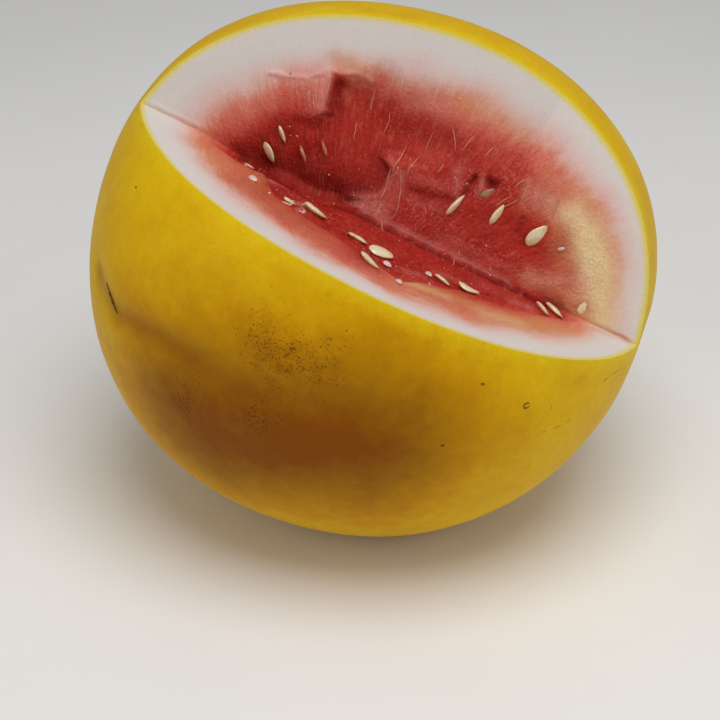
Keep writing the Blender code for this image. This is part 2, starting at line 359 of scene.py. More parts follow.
def marked(u, v, marks):
    """The sum of a face's marks at places on it, each fading out over its reach."""
    places = np.stack((u + MARK_WANDER * ripple(u, v, 3.5), v + MARK_WANDER * ripple(v, u, 3.0)), -1)
    total = np.zeros_like(u)
    for line, reach, strength in marks:
        distance, _ = line_distance(places, line)
        total += strength * hump(distance, reach)
    return total


def face_marks(u, v, marks):
    """A face's marks: what they add to its height in millimetres, and its looks from 0 to 1."""
    sums = {name: marked(u, v, lines) for name, lines in marks.items()}
    height = sums.pop("height")
    return height, {name: np.clip(values, 0.0, 1.0) for name, values in sums.items()}


def seed_middles(face_word):
    """The middles of the frame's seeds in one face, as places on that face."""
    places = []
    for node in sorted(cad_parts):
        if f"seed_{face_word}" in node:
            low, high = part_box(node)
            offset = np.array((low + high) / 2) / MM - CREASE_MIDDLE
            places.append((offset @ ALONG, offset @ OUT[face_word]))
    return places


def seed_dips(u, v, face_word):
    """1 right round each seed, where the flesh draws back from it."""
    dips = np.zeros_like(u)
    for along, out in seed_middles(face_word):
        dips = np.maximum(dips, hump(np.hypot(u - along, v - out), SEED_DIP_REACH))
    return dips


def upper_face(u, v, settings):
    """Height over the knife's plane and the flesh's looks at places on the upper face.

    The steps are in millimetres from the edge of the flesh, from a tear or across the face.
    """
    edge = flesh_edge(u, v, UPPER_FLESH_EDGE)
    flesh = ease(4.0, -6.0, edge)
    dip = hollow(u, v)
    seeds = seed_dips(u, v, "upper")
    marks_height, looks = face_marks(u, v, UPPER_MARKS)
    facet = ease(-74.0, -84.0, u) * ease(3.2, 1.4, v) * 0.3
    height = -settings.hollow_depth / MM * dip + marks_height - 0.4 * seeds * flesh + facet
    looks["grit_and_glints"] = looks["grit_and_glints"] * flesh
    in_flesh = ease(8.0, -2.0, edge - 20.0 * ease(60.0, 66.0, u))
    # The hollow and the rings round the seeds add painted shade to the deep red.
    looks["deep_red_and_shade"] = np.clip(looks["deep_red_and_shade"] + 0.12 * dip + 0.2 * seeds, 0.0, 1.0) * in_flesh
    torn_in = dip * np.clip(1.0 + 0.8 * ripple(v, u, 4.0), 0.3, 1.6)
    riper = profile(UPPER_RIPENING, edge - 5.0 * torn_in)  # flesh torn from further in is riper
    looks["ripe"] = np.clip(riper + looks["ripe"], 0.0, 0.9)
    looks["torn"] = flesh * np.clip(0.25 + 0.2 * dip + 0.8 * looks["pale"] + 0.5 * looks["grit_and_glints"], 0.0, 1.0)
    looks["crumb"] = flesh * np.clip(0.1 + 0.6 * looks["pale"] + 0.6 * looks["grit_and_glints"] + 0.4 * seeds, 0.0, 1.0)
    looks["facet"] = ease(-1.0, 1.0, u - profile(KNIFE_FACET, v))
    spread = np.stack((u - FAN_FOOT[0], v - FAN_FOOT[1]), -1)
    fan_turn = np.arctan2(spread[..., 0], spread[..., 1])
    grain = np.stack((fan_turn * 75.0, np.linalg.norm(spread, axis=-1) / 7.0, 0.25 * u), -1)
    return height, looks, grain


def lower_face(u, v, settings):
    """Height over the knife's plane and the flesh's looks at places on the lower face."""
    edge = flesh_edge(u, v, LOWER_FLESH_EDGE)
    flesh = ease(3.0, -4.0, edge)
    tear_line = profile(TEAR_LINE, u) + 1.3 * ripple(u, v, 8.0)
    inside = ease(-1.2, 2.2, tear_line - v) * ease(-76.0, -66.0, u) * ease(86.0, 78.0, u)
    seeds = seed_dips(u, v, "lower")
    heart = inside * ease(-3.0, 10.0, tear_line - v)
    marks_height, looks = face_marks(u, v, LOWER_MARKS)
    height = (
        -settings.tear_step / MM * inside * ease(0.0, 2.2, v) * (1.0 - 0.8 * seeds)
        - 0.2 * inside * ease(40.0, 10.0, v) * ease(0.0, 2.2, v)
        + marks_height
        - 0.3 * seeds * flesh
    )
    looks["straw"] = looks["straw"] * (1.0 - inside)
    looks["tan"] = looks["tan"] * (1.0 - 0.9 * inside * ease(90.0, 70.0, u))
    looks["grit_and_glints"] = looks["grit_and_glints"] * flesh
    # The rings round the seeds add painted shade to the deep red.
    looks["deep_red_and_shade"] = np.clip(looks["deep_red_and_shade"] + 0.05 * heart + 0.2 * seeds * inside, 0.0, 1.0)
    looks["ripe"] = np.clip(profile(LOWER_RIPENING, edge) + 0.1 * heart, 0.0, 0.9)
    looks["torn"] = flesh * np.clip(0.12 + 0.55 * inside, 0.0, 1.0)
    looks["crumb"] = flesh * np.clip(0.05 + 0.3 * inside + 0.5 * seeds + 0.4 * looks["grit_and_glints"], 0.0, 1.0)
    looks["facet"] = np.ones_like(u)
    around = np.arctan2(v, u)
    grain = np.stack((0.6 * np.hypot(u, v), around * 9.0, 0.25 * u), -1)
    return height, looks, grain


def crease_shift(u, v):
    """How far the flesh near the crease stands out of the notch in millimetres, or lies deeper, below 0."""
    reach = profile(CREVICE_REACH, u)
    uneven = 1.0 + 0.25 * ripple(u, 0.0 * v, 6.0)
    depth = profile(CREVICE_DEPTH, u) * uneven * np.exp(-((v / reach) ** 1.4))
    roll = profile(ROLL_HEIGHT, u) * uneven * hump(v, ROLL_REACH)
    return roll - depth


# Places on the skin, in the frame's own millimetres.
SPECK_CLUSTERS = (
    # place, reach, how dense
    ((-31.5, -100.6, 119.6), 9.5, 1.2),
    ((-41.6, -95.1, 127.2), 7.0, 0.6),
    ((-15.6, -102.3, 123.3), 6.0, 0.7),
    ((-39.2, -97.2, 122.4), 7.0, 0.8),
    ((-19.4, -104.6, 112.7), 7.0, 1.0),
    ((-30.1, -102.6, 118.7), 4.0, 1.5),
    ((-40.0, -98.7, 92.8), 8.0, 2.6),
    ((-67.7, -84.3, 91.5), 8.0, 2.0),
)
# A rib valley: a real dent in the skin, darkened along it with painted shade.
RIB_VALLEY = (
    (-104.6, -35.8, 117.5), (-97.0, -53.6, 111.7), (-77.0, -77.3, 113.2), (-62.0, -88.7, 108.3),
    (-40.5, -99.0, 101.3), (-5.3, -106.6, 99.4), (22.7, -105.4, 96.9),
)
# The skin turns amber and brown along this line, partly its own colour and partly painted shade low on
# the front of the fruit.
WARM_AND_SHADED_SIDE = ((-62.0, -86.0, 82.0), (-45.0, -97.0, 84.0), (-8.0, -105.0, 86.0))
WARM_AND_SHADE_REACH = 44.0
LEAST_WARMTH_AND_SHADE = 0.22
STEM_SCAR_RADIUS = 9.0
BLOSSOM_SCAR_RADIUS = 4.5
# How far the skin sinks at the stem end, at the blossom end and along the valley, and its reach there.
STEM_DIP, STEM_DIP_REACH = 2.6, 16.0
BLOSSOM_DIP, BLOSSOM_DIP_REACH = 1.2, 10.0
VALLEY_DIP, VALLEY_DIP_REACH = 1.9, 7.0


def skin_looks(points):
    """The skin's looks at places on it, in the frame's millimetres."""
    offset = points - FRUIT_CENTRE
    directions = offset / np.linalg.norm(offset, axis=-1)[..., None]
    from_cut = np.maximum(UPPER_OFFSET - offset @ UPPER_NORMAL, LOWER_OFFSET - offset @ LOWER_NORMAL)
    specks = np.zeros(points.shape[:-1])
    for place, reach, density in SPECK_CLUSTERS:
        specks += density * hump(np.linalg.norm(points - np.array(place), axis=-1), reach)
    valley, along_valley = line_distance(points, RIB_VALLEY)
    warm_and_shaded_side, _ = line_distance(points, WARM_AND_SHADED_SIDE)
    stem_end = np.arccos(np.clip(directions @ -STEM_AXIS, -1.0, 1.0)) * GIRTH_RADIUS
    blossom_end = np.arccos(np.clip(directions @ STEM_AXIS, -1.0, 1.0)) * GIRTH_RADIUS
    scar = ease(STEM_SCAR_RADIUS + 1.5, STEM_SCAR_RADIUS - 1.5, stem_end)
    scar = scar + ease(BLOSSOM_SCAR_RADIUS + 1.2, BLOSSOM_SCAR_RADIUS - 1.2, blossom_end)
    fading = ease(1.0, 0.3, along_valley)
    dent = STEM_DIP * hump(stem_end, STEM_DIP_REACH) + BLOSSOM_DIP * hump(blossom_end, BLOSSOM_DIP_REACH)
    dent = dent + VALLEY_DIP * hump(valley, VALLEY_DIP_REACH) * fading
    looks = {
        "from_cut": from_cut,
        "speck": specks,
        "stain": 0.4 * np.minimum(specks, 1.6),
        # The valley's darker brown band is painted shade in the rib valley.
        "valley": 0.75 * hump(valley, 5.0) * fading,
        "scar": scar,
        "warm_and_shade": LEAST_WARMTH_AND_SHADE + (1.0 - LEAST_WARMTH_AND_SHADE) * hump(warm_and_shaded_side, WARM_AND_SHADE_REACH),
    }
    return directions, dent, looks


# The relief of the faces dies out over these distances, in millimetres from the rim and from the crease.
RIM_BORDER = 6.0
CREASE_BORDER = 2.5
FACE_LOOKS = ("ripe", "straw", "tan", "pale", "grit_and_glints", "deep_red_and_shade", "torn", "crumb", "facet")
SKIN_LOOKS = ("from_cut", "speck", "stain", "valley", "scar", "warm_and_shade")


class FruitRings:
    """The fruit's surface as rings round the crease: lower face, skin, upper face, and a pole at each end."""

    def __init__(self, settings):
        self.columns = settings.columns
        self.face_rows = settings.face_rows
        self.skin_rows = settings.skin_rows
        self.ring = 2 * self.face_rows + self.skin_rows
        slope = np.linspace(0.0, math.pi, self.columns + 1)[1:-1, None]
        steps = np.arange(1, self.skin_rows) / self.skin_rows
        crowded = steps - 0.09 * np.sin(2 * math.pi * steps)  # rows lie closer together next to the cut
        turn = np.concatenate(((0.0,), crowded, (1.0,)))[None, :] * NOTCH_TURN
        rays = (
            -np.cos(slope)[..., None] * ALONG
            + (np.sin(slope) * np.cos(turn))[..., None] * LOWER_OUT
            - (np.sin(slope) * np.sin(turn))[..., None] * LOWER_NORMAL
        )
        skin = CREASE_MIDDLE + skin_distance(rays)[..., None] * rays
        self.left = -skin_distance(-ALONG)
        self.right = skin_distance(ALONG)
        place = self.left + (self.right - self.left) * (1.0 - np.cos(slope)) / 2
        crease = CREASE_MIDDLE + place[..., None] * ALONG
        evenly = np.arange(self.face_rows) / self.face_rows
        part = (0.7 * evenly + 0.3 * evenly**2)[None, :, None]  # rows lie closer together next to the crease
        lower = (1.0 - part) * crease + part * skin[:, :1]
        upper = (1.0 - part[:, :0:-1]) * crease + part[:, :0:-1] * skin[:, -1:]
        self.points = np.concatenate((lower, skin, upper), axis=1)
        self.poles = CREASE_MIDDLE + np.outer((self.left, self.right), ALONG)
        self.rim_reach = np.linalg.norm(skin[:, (0, -1)] - CREASE_MIDDLE, axis=-1)
        self.rim_turn = math.pi - slope[:, 0]

    def rim_distance(self, u, v, side):
        """How far a place on a face is from the skin."""
        reach = np.interp(np.arctan2(v, u), self.rim_turn[::-1], self.rim_reach[::-1, side])
        return np.maximum(reach - np.hypot(u, v), 0.0)

    def faces(self):
        """Quads between neighbouring rings, and triangles round each pole; the poles come last."""
        across = np.arange(self.columns - 2)[:, None] * self.ring
        here = np.arange(self.ring)[None, :]
        after = (here + 1) % self.ring
        ahead = across + self.ring
        quads = np.stack((across + here, across + after, ahead + after, ahead + here), -1)
        pole = (self.columns - 1) * self.ring
        last = (self.columns - 2) * self.ring
        loops = [tuple(quad) for quad in quads.reshape(-1, 4).tolist()]
        rows = list(zip(here[0].tolist(), after[0].tolist()))
        loops += [(pole, row_after, row) for row, row_after in rows]
        loops += [(pole + 1, last + row, last + row_after) for row, row_after in rows]
        cut_row = (here[0] < self.face_rows) | (here[0] >= self.face_rows + self.skin_rows)
        cut = np.concatenate((np.tile(cut_row, self.columns - 2), cut_row, cut_row))
        return loops, cut


def fruit_mesh(settings):
    """The fruit's closed mesh, with the looks of skin and flesh as attributes of its points."""
    rings = FruitRings(settings)
    points = rings.points
    looks = {name: np.zeros(points.shape[:2]) for name in FACE_LOOKS + SKIN_LOOKS}
    looks["rim"] = np.zeros(points.shape[:2])
    grain = np.zeros(points.shape)
    directions, dent, skin = skin_looks(points)
    for name in SKIN_LOOKS:
        looks[name] = skin[name]
    faces = (
        (slice(0, rings.face_rows + 1), 0, LOWER_OUT, LOWER_NORMAL, lower_face),
        (slice(rings.face_rows + rings.skin_rows, None), 1, UPPER_OUT, UPPER_NORMAL, upper_face),
    )
    moved = points - directions * (dent * ease(2.0, 12.0, skin["from_cut"]))[..., None]
    for rows, side, out, normal, face in faces:
        offset = points[:, rows] - CREASE_MIDDLE
        u = offset @ ALONG
        v = np.maximum(offset @ out, 0.0)
        height, face_looks, grain[:, rows] = face(u, v, settings)
        rim = rings.rim_distance(u, v, side)
        looks["rim"][:, rows] = rim
        for name in FACE_LOOKS:
            looks[name][:, rows] = face_looks[name]
        settled = ease(0.0, RIM_BORDER, rim)
        lift = (height * ease(0.0, CREASE_BORDER, v) * settled)[..., None] * normal
        shift = (crease_shift(u, v) * settled)[..., None] * NOTCH_MIDDLE
        moved[:, rows] = points[:, rows] + lift + shift
    moved[..., 2] = np.maximum(moved[..., 2], 0.0)
    loops, cut = rings.faces()
    mesh = bpy.data.meshes.new("melon_rings")
    corners = np.concatenate((moved.reshape(-1, 3), rings.poles)) * MM
    mesh.from_pydata(corners.tolist(), [], loops)
    for name, values in looks.items():
        column = np.concatenate((values.ravel(), (0.0, 0.0))).astype(np.float32)
        mesh.attributes.new(name, "FLOAT", "POINT").data.foreach_set("value", column)
    column = np.concatenate((grain.reshape(-1, 3), np.zeros((2, 3)))).astype(np.float32)
    mesh.attributes.new("grain", "FLOAT_VECTOR", "POINT").data.foreach_set("vector", column.ravel())
    mesh.attributes.new("cut", "BOOLEAN", "FACE").data.foreach_set("value", cut)
    mark_rims(mesh, rings)
    return mesh


def mark_rims(mesh, rings):
    """Keeps the knife's two edges sharp."""
    ends = np.zeros(2 * len(mesh.edges), np.int32)
    mesh.edges.foreach_get("vertices", ends)
    ends = ends.reshape(-1, 2)
    pole = (rings.columns - 1) * rings.ring
    row = np.where(ends < pole, ends % rings.ring, -1)
    lower_rim = row == rings.face_rows
    upper_rim = row == rings.face_rows + rings.skin_rows
    on_pole = row == -1
    sharp = (lower_rim | on_pole).all(1) | (upper_rim | on_pole).all(1)
    mesh.attributes.new("sharp_edge", "BOOLEAN", "EDGE").data.foreach_set("value", sharp)


def linear(code):
    """Turns an sRGB hex colour into linear light."""
    parts = [int(code[place:place + 2], 16) / 255 for place in (0, 2, 4)]
    return (*(c / 12.92 if c <= 0.04045 else ((c + 0.055) / 1.055) ** 2.4 for c in parts), 1.0)


# The kinds of node that come up again and again.
MATH, VECTOR_MATH = "ShaderNodeMath", "ShaderNodeVectorMath"
RANGE, RAMP, MIX = "ShaderNodeMapRange", "ShaderNodeValToRGB", "ShaderNodeMix"
NOISE, VORONOI = "ShaderNodeTexNoise", "ShaderNodeTexVoronoi"
BUMP, ATTRIBUTE = "ShaderNodeBump", "ShaderNodeAttribute"
SPLIT, JOIN = "ShaderNodeSeparateXYZ", "ShaderNodeCombineXYZ"
POSITION, NAMED = "GeometryNodeInputPosition", "GeometryNodeInputNamedAttribute"
SET_POSITION, STORE = "GeometryNodeSetPosition", "GeometryNodeStoreNamedAttribute"
RANDOM = "FunctionNodeRandomValue"
# Numbers of sockets: a Mix node's share, two colours and result, and a random value's least, most, seed and
# result.
SHARE, A, B, MIXED = 0, 6, 7, 2
LEAST, MOST, SEED, DRAWN = 2, 3, 8, 1
# A Mix node that lays one colour over another, and one that darkens or lightens a colour by a tone.
LAID = {"data_type": "RGBA"}
TONED = {"data_type": "RGBA", "blend_type": "MULTIPLY"}


def feed(tree, node, inputs):
    """Sets a node's inputs, by name or in their order, and links those that come from another node."""
    for key, value in (inputs.items() if isinstance(inputs, dict) else enumerate(inputs)):
        if isinstance(value, bpy.types.NodeSocket):
            tree.links.new(value, node.inputs[key])
        else:
            node.inputs[key].default_value = value


def add(tree, kind, inputs=(), out=0, stops=(), **settings):
    """Adds a node with its settings, inputs and colour stops, and gives one output of it, or all for None."""
    node = tree.nodes.new(kind)
    for name, value in settings.items():
        setattr(node, name, value)
    for index, (place, colour) in enumerate(stops):
        stop = node.color_ramp.elements[index] if index < 2 else node.color_ramp.elements.new(place)
        stop.position = place
        stop.color = colour
    feed(tree, node, inputs)
    return node.outputs if out is None else node.outputs[out]


def new_material(name):
    """An empty material, its tree, its shader and its place on the piece."""
    material = bpy.data.materials.new(name)
    material.use_nodes = True
    tree = material.node_tree
    return material, tree, tree.nodes["Principled BSDF"], add(tree, "ShaderNodeTexCoord", out="Object")


def waxy_skin(colours):
    """Ripe watermelon rind: a hard wax-covered skin, grown. The eye sees smooth yellow that warms to amber
    and brown low on one side, partly painted shade, paler lemon next to the cut, faint clouds, fine pores
    and a broad gloss."""
    material, tree, shader, place = new_material("Waxy watermelon skin")
    clouds, blotches, fine = (
        add(tree, NOISE, {"Vector": place, "Scale": 1 / spacing, "Detail": detail, "Roughness": uneven})
        for spacing, detail, uneven in ((24 * MM, 3.0, 0.55), (5 * MM, 4.0, 0.6), (0.9 * MM, 2.0, 0.5))
    )
    warm_and_shade, from_cut, stain, speck, valley, scar = (
        add(tree, ATTRIBUTE, out="Fac", attribute_name=name)
        for name in ("warm_and_shade", "from_cut", "stain", "speck", "valley", "scar")
    )
    # Warmth to amber and brown, partly the skin's own colour and partly painted shade low on the front.
    warmth_and_shade = add(tree, MATH, (clouds, 0.34, warm_and_shade), operation="MULTIPLY_ADD")
    warmth_and_shade = add(tree, MATH, (blotches, 0.2, warmth_and_shade), operation="MULTIPLY_ADD")
    warmth_and_shade = add(tree, MATH, (warmth_and_shade, 0.27), operation="SUBTRACT")
    colour = add(tree, RAMP, (warmth_and_shade,), stops=colours["warming_and_shade"])
    wavering = add(tree, MATH, (blotches, 5.0, from_cut), operation="MULTIPLY_ADD")
    lemon_share = add(tree, RANGE, (wavering, 2.0, 9.0, 0.45, 0.0))
    colour = add(tree, MIX, {SHARE: lemon_share, A: colour, B: colours["skin_lemon"]}, MIXED, **LAID)
    fine_tone = add(tree, RANGE, (fine, 0.3, 0.7, 0.95, 1.03))
    colour = add(tree, MIX, {SHARE: 1.0, A: colour, B: fine_tone}, MIXED, **TONED)
    smudges = add(tree, RANGE, (blotches, 0.3, 0.72))
    flecks = add(tree, RANGE, (fine, 0.54, 0.68))
    broad = add(tree, RANGE, (clouds, 0.3, 0.6, 0.6))
    dirt = add(tree, MATH, (smudges, flecks), operation="MULTIPLY")
    # The rib valley's darker brown is painted shade.
    marks = (stain, smudges, "skin_brown"), (speck, dirt, "dirt"), (valley, broad, "skin_brown")
    for mark, pattern, tint in marks:
        share = add(tree, MATH, (mark, pattern), operation="MULTIPLY", use_clamp=True)
        colour = add(tree, MIX, {SHARE: share, A: colour, B: colours[tint]}, MIXED, **LAID)
    # Real pores are about 0.3 mm across, too fine to show, so they are drawn 1.9 mm apart and 0.5 mm wide.
    pores = add(tree, VORONOI, {"Vector": place, "Scale": 1 / (1.9 * MM)}, "Distance")
    pore_share = add(tree, RANGE, (pores, 0.08, 0.26, 0.12, 0.0))
    for share, tint in ((scar, "cork"), (pore_share, "skin_brown")):
        colour = add(tree, MIX, {SHARE: share, A: colour, B: colours[tint]}, MIXED, **LAID)
    height = add(tree, MATH, (blotches, 1.2, fine), operation="MULTIPLY_ADD")
    height = add(tree, MATH, (height, pore_share), operation="SUBTRACT")
    feed(tree, shader, {
        "Base Color": colour,
        "Roughness": add(tree, RANGE, {"Value": blotches, "To Min": 0.38, "To Max": 0.56}),
        "Normal": add(tree, BUMP, {"Height": height, "Strength": 0.22, "Distance": 0.3 * MM}),
        "IOR": 1.44, "Specular IOR Level": 0.07,
    })
    return material


def wet_flesh(colours):
    """Ripe watermelon flesh and rind: juicy cells in fibres, knife-cut and partly torn. The eye sees a
    feathered change from greyish white rind through pink to red, pale fibres, wet grain and small glints."""
    material, tree, shader, place = new_material("Wet watermelon flesh")
    grain = add(tree, ATTRIBUTE, out="Vector", attribute_name="grain")
    looks = {
        name: add(tree, ATTRIBUTE, out="Fac", attribute_name=name)
        for name in ("ripe", "facet", "rim", "tan", "straw", "pale", "grit_and_glints", "deep_red_and_shade")
    }
    streaks, broad_streaks, clouds, speckle = (
        add(tree, NOISE, {"Vector": field, "Scale": 1 / spacing, "Detail": detail, "Roughness": uneven})
        for field, spacing, detail, uneven in (
            (grain, 1.3, 4.0, 0.62), (grain, 4.5, 2.0, 0.5),
            (place, 9 * MM, 4.0, 0.6), (place, 1.1 * MM, 3.0, 0.65),
        )
    )
    ripe = looks["ripe"]
    uneven = -0.41
    for waves, share in ((streaks, 0.36), (broad_streaks, 0.16), (clouds, 0.3)):
        uneven = add(tree, MATH, (waves, share, uneven), operation="MULTIPLY_ADD")
    ripe_enough = add(tree, RANGE, (ripe, 0.02, 0.3, 0.05))
    ripeness = add(tree, MATH, (uneven, ripe_enough, ripe), operation="MULTIPLY_ADD")
    colour = add(tree, RAMP, (ripeness,), stops=colours["ripening"])
    # Left of the knife's other slant the cut is darker: painted shade for the slant that faces away from the
    # light.
    facet_shade_tone = add(tree, RANGE, {"Value": looks["facet"], "To Min": 0.93})
    colour = add(tree, MIX, {SHARE: 1.0, A: colour, B: facet_shade_tone}, MIXED, **TONED)
    # Burst juice cells dry to pale flecks about 0.8 mm across: the grit.
    # The flecks are partly painted highlights that stand in for small wet glints.
    for name, pattern in (
        ("tan", (clouds, 0.3, 0.62, 0.7)),
        ("straw", (clouds, 0.3, 0.62, 0.85)),
        ("pale", (streaks, 0.36, 0.62, 0.35)),
        ("grit_and_glints", (speckle, 0.52, 0.66, 0.0, 0.55)),
        # Deep red, partly painted shade in crevices, hollows and round seeds.
        ("deep_red_and_shade", (clouds, 0.3, 0.62, 0.8)),
    ):
        mark = (looks[name], add(tree, RANGE, pattern))
        share = add(tree, MATH, mark, operation="MULTIPLY", use_clamp=True)
        colour = add(tree, MIX, {SHARE: share, A: colour, B: colours[name]}, MIXED, **LAID)
    # Single fibres are about 0.2 mm thick, and are drawn as soft pale streaks 0.6 mm wide so that they show.
    hairs = add(tree, NOISE, {"Vector": grain, "Scale": 1 / 0.8, "Detail": 2.0, "Distortion": 0.3})
    hair_share = add(tree, RANGE, (hairs, 0.55, 0.72, 0.0, 0.2))
    hair_share = add(tree, MATH, (hair_share, add(tree, RANGE, (ripe, 0.3, 0.6))), operation="MULTIPLY")
    rim = add(tree, MATH, (speckle, 1.2, looks["rim"]), operation="MULTIPLY_ADD")
    rim_share = add(tree, RANGE, (rim, 1.0, 3.4, 0.95, 0.0))
    for share, tint in ((hair_share, "fibre"), (rim_share, "rim_lemon")):
        colour = add(tree, MIX, {SHARE: share, A: colour, B: colours[tint]}, MIXED, **LAID)
    tone_share = add(tree, RANGE, (ripe, 0.0, 0.5, 0.35))
    tone = add(tree, RANGE, (speckle, 0.3, 0.7, 0.9, 1.1))
    colour = add(tree, MIX, {SHARE: tone_share, A: colour, B: tone}, MIXED, **TONED)
    # Juice cells are about 1 mm long; their walls catch the light.
    cells = add(tree, VORONOI, {"Vector": place, "Scale": 1 / (1.5 * MM), "Detail": 1.0}, "Distance")
    height = add(tree, MATH, (cells, -0.4, streaks), operation="MULTIPLY_ADD")
    height = add(tree, MATH, (speckle, 0.8, height), operation="MULTIPLY_ADD")
    strength = add(tree, RANGE, (ripe, 0.0, 0.6, 0.02, 0.55))
    wetness = add(tree, RANGE, (speckle, 0.35, 0.65, 0.28, 0.55))
    feed(tree, shader, {
        "Base Color": colour,
        "Roughness": add(tree, MATH, (looks["deep_red_and_shade"], 0.5, wetness), operation="MULTIPLY_ADD", use_clamp=True),
        "Normal": add(tree, BUMP, {"Height": height, "Strength": strength, "Distance": 0.8 * MM}),
        "IOR": 1.36, "Specular IOR Level": 0.24, "Coat Weight": 0.03, "Coat Roughness": 0.12,
        "Subsurface Weight": 0.15, "Subsurface Radius": (1.0, 0.35, 0.25), "Subsurface Scale": 2.5 * MM,
    })
    return material


def mottled(name, spacing, smoothest, roughest, dents, depth):
    """A new material with a mottle that varies its gloss and dents it; gives its parts and the mottle."""
    material, tree, shader, place = new_material(name)
    mottle = add(tree, NOISE, {"Vector": place, "Scale": 1 / spacing, "Detail": 3.0})
    feed(tree, shader, {
        "Roughness": add(tree, RANGE, {"Value": mottle, "To Min": smoothest, "To Max": roughest}),
        "Normal": add(tree, BUMP, {"Height": mottle, "Strength": dents, "Distance": depth}),
    })
    return material, tree, shader, place, mottle


def seed_coat(name, body, tip, film, film_share):
    """Ripe seed coat: thin, hard and woody, wet with juice. The eye sees warm cream with a tan point and
    edge, faint mottling and a clear gloss; a film of red flesh may cover it."""
    material, tree, shader, place, mottle = mottled(name, 1.8 * MM, 0.2, 0.45, 0.25, 0.2 * MM)
    reach = add(tree, ATTRIBUTE, out="Fac", attribute_name="seed_reach")
    reach = add(tree, MATH, (mottle, 0.5, reach), operation="MULTIPLY_ADD")
    tip_share = add(tree, RANGE, (reach, 0.75, 1.35, 0.0, 0.8))
    colour = add(tree, MIX, {SHARE: tip_share, A: body, B: tip}, MIXED, **LAID)
    tone = add(tree, RANGE, (mottle, 0.35, 0.7, 1.0, 0.88))
    colour = add(tree, MIX, {SHARE: 1.0, A: colour, B: tone}, MIXED, **TONED)
    patches = add(tree, NOISE, {"Vector": place, "Scale": 1 / (3.2 * MM), "Detail": 3.0})
    wider = 0.4 * film_share
    covered = add(tree, RANGE, (patches, 0.62 - wider, 0.8 - wider, 0.0, min(1.0, 0.3 + film_share)))
    colour = add(tree, MIX, {SHARE: covered, A: colour, B: film}, MIXED, **LAID)
    feed(tree, shader, {"Base Color": colour, "Coat Weight": 0.35, "Coat Roughness": 0.1})
    return material


def torn_pulp(name, first, second, third):
    """Torn shreds and juice cells of flesh: soft, wet and translucent. The eye sees tones from red to pale
    pink and small wet glints."""
    material, tree, shader, _, mottle = mottled(name, 2.5 * MM, 0.2, 0.5, 0.3, 0.3 * MM)
    tone = add(tree, ATTRIBUTE, out="Fac", attribute_name="tone")
    tone = add(tree, MATH, (mottle, 0.5, tone), operation="MULTIPLY_ADD")
    feed(tree, shader, {
        "Base Color": add(tree, RAMP, (tone,), stops=((0.3, first), (1.15, third), (0.75, second))),
        "Subsurface Weight": 0.2, "Subsurface Radius": (1.0, 0.4, 0.3), "Subsurface Scale": 1.5 * MM,
        "Coat Weight": 0.2, "Coat Roughness": 0.12,
    })
    return material


def cork_and_fold_shade(name, dark, light):
    """Cork: the dry scabs that a rubbed or pricked skin grows. The eye sees matt brown specks and lines.
    It also colours the painted shade laid along the skin's folds.
    """
    material, tree, shader, _, mottle = mottled(name, 2.0 * MM, 0.6, 0.85, 0.4, 0.2 * MM)
    colour = add(tree, RAMP, (mottle,), stops=((0.35, dark), (0.65, light)))
    feed(tree, shader, {"Base Color": colour, "Specular IOR Level": 0.12})
    return material


def matt_board(colours):
    """Matt painted board: rolled paint, pale and even. The eye sees faint clouds and hardly any gloss."""
    material, tree, shader, place = new_material("Pale matt board")
    clouds = add(tree, NOISE, {"Vector": place, "Scale": 1 / (220 * MM), "Detail": 3.0})
    share = add(tree, RANGE, (clouds, 0.3, 0.7))
    colour = add(tree, MIX, {SHARE: share, A: colours["floor"], B: colours["floor_shade"]}, MIXED, **LAID)
    feed(tree, shader, {"Base Color": colour, "Roughness": 0.85, "Specular IOR Level": 0.1})
    return material


def new_tree(name, numbers, **others):
    """A Geometry Nodes tree with named inputs, numbers first; gives it, its inputs and its output node."""
    tree = bpy.data.node_groups.new(name, "GeometryNodeTree")
    tree.interface.new_socket("Geometry", in_out="INPUT", socket_type="NodeSocketGeometry")
    for label, kind in (dict.fromkeys(numbers, "Float") | others).items():
        tree.interface.new_socket(label, in_out="INPUT", socket_type="NodeSocket" + kind)
    tree.interface.new_socket("Geometry", in_out="OUTPUT", socket_type="NodeSocketGeometry")
    return tree, add(tree, "NodeGroupInput", out=None), tree.nodes.new("NodeGroupOutput")


def end_tree(tree, result, shape, *finishes):
    """Shades a tree's shape smooth, makes it real and gives it each finish where its selection says."""
    shape = add(tree, "GeometryNodeSetShadeSmooth", {"Geometry": shape})
    shape = add(tree, "GeometryNodeRealizeInstances", {"Geometry": shape})
    for finish, where in finishes:
        finished = {"Geometry": shape, "Selection": where, "Material": finish}
        shape = add(tree, "GeometryNodeSetMaterial", finished)
    feed(tree, result, (shape,))
    return tree


def made_by(tree, name, mesh, values):
    """Runs a tree on a mesh, and gives the result as a plain mesh object at the origin."""
    maker = bpy.data.objects.new(name + "_maker", mesh)
    bpy.context.scene.collection.objects.link(maker)
    modifier = maker.modifiers.new(tree.name, "NODES")
    modifier.node_group = tree
    for socket in tree.interface.items_tree:
        if socket.in_out == "INPUT" and socket.name in values:
            modifier[socket.identifier] = values[socket.name]
    view = bpy.context.evaluated_depsgraph_get()
    evaluated = maker.evaluated_get(view)
    plain = bpy.data.meshes.new_from_object(evaluated, preserve_all_data_layers=True, depsgraph=view)
    bpy.data.objects.remove(maker)
    if not plain.polygons:
        raise RuntimeError(f"{name} came out empty")
    piece = bpy.data.objects.new(name, plain)
    plain.name = name
    bpy.context.scene.collection.objects.link(piece)
    return piece


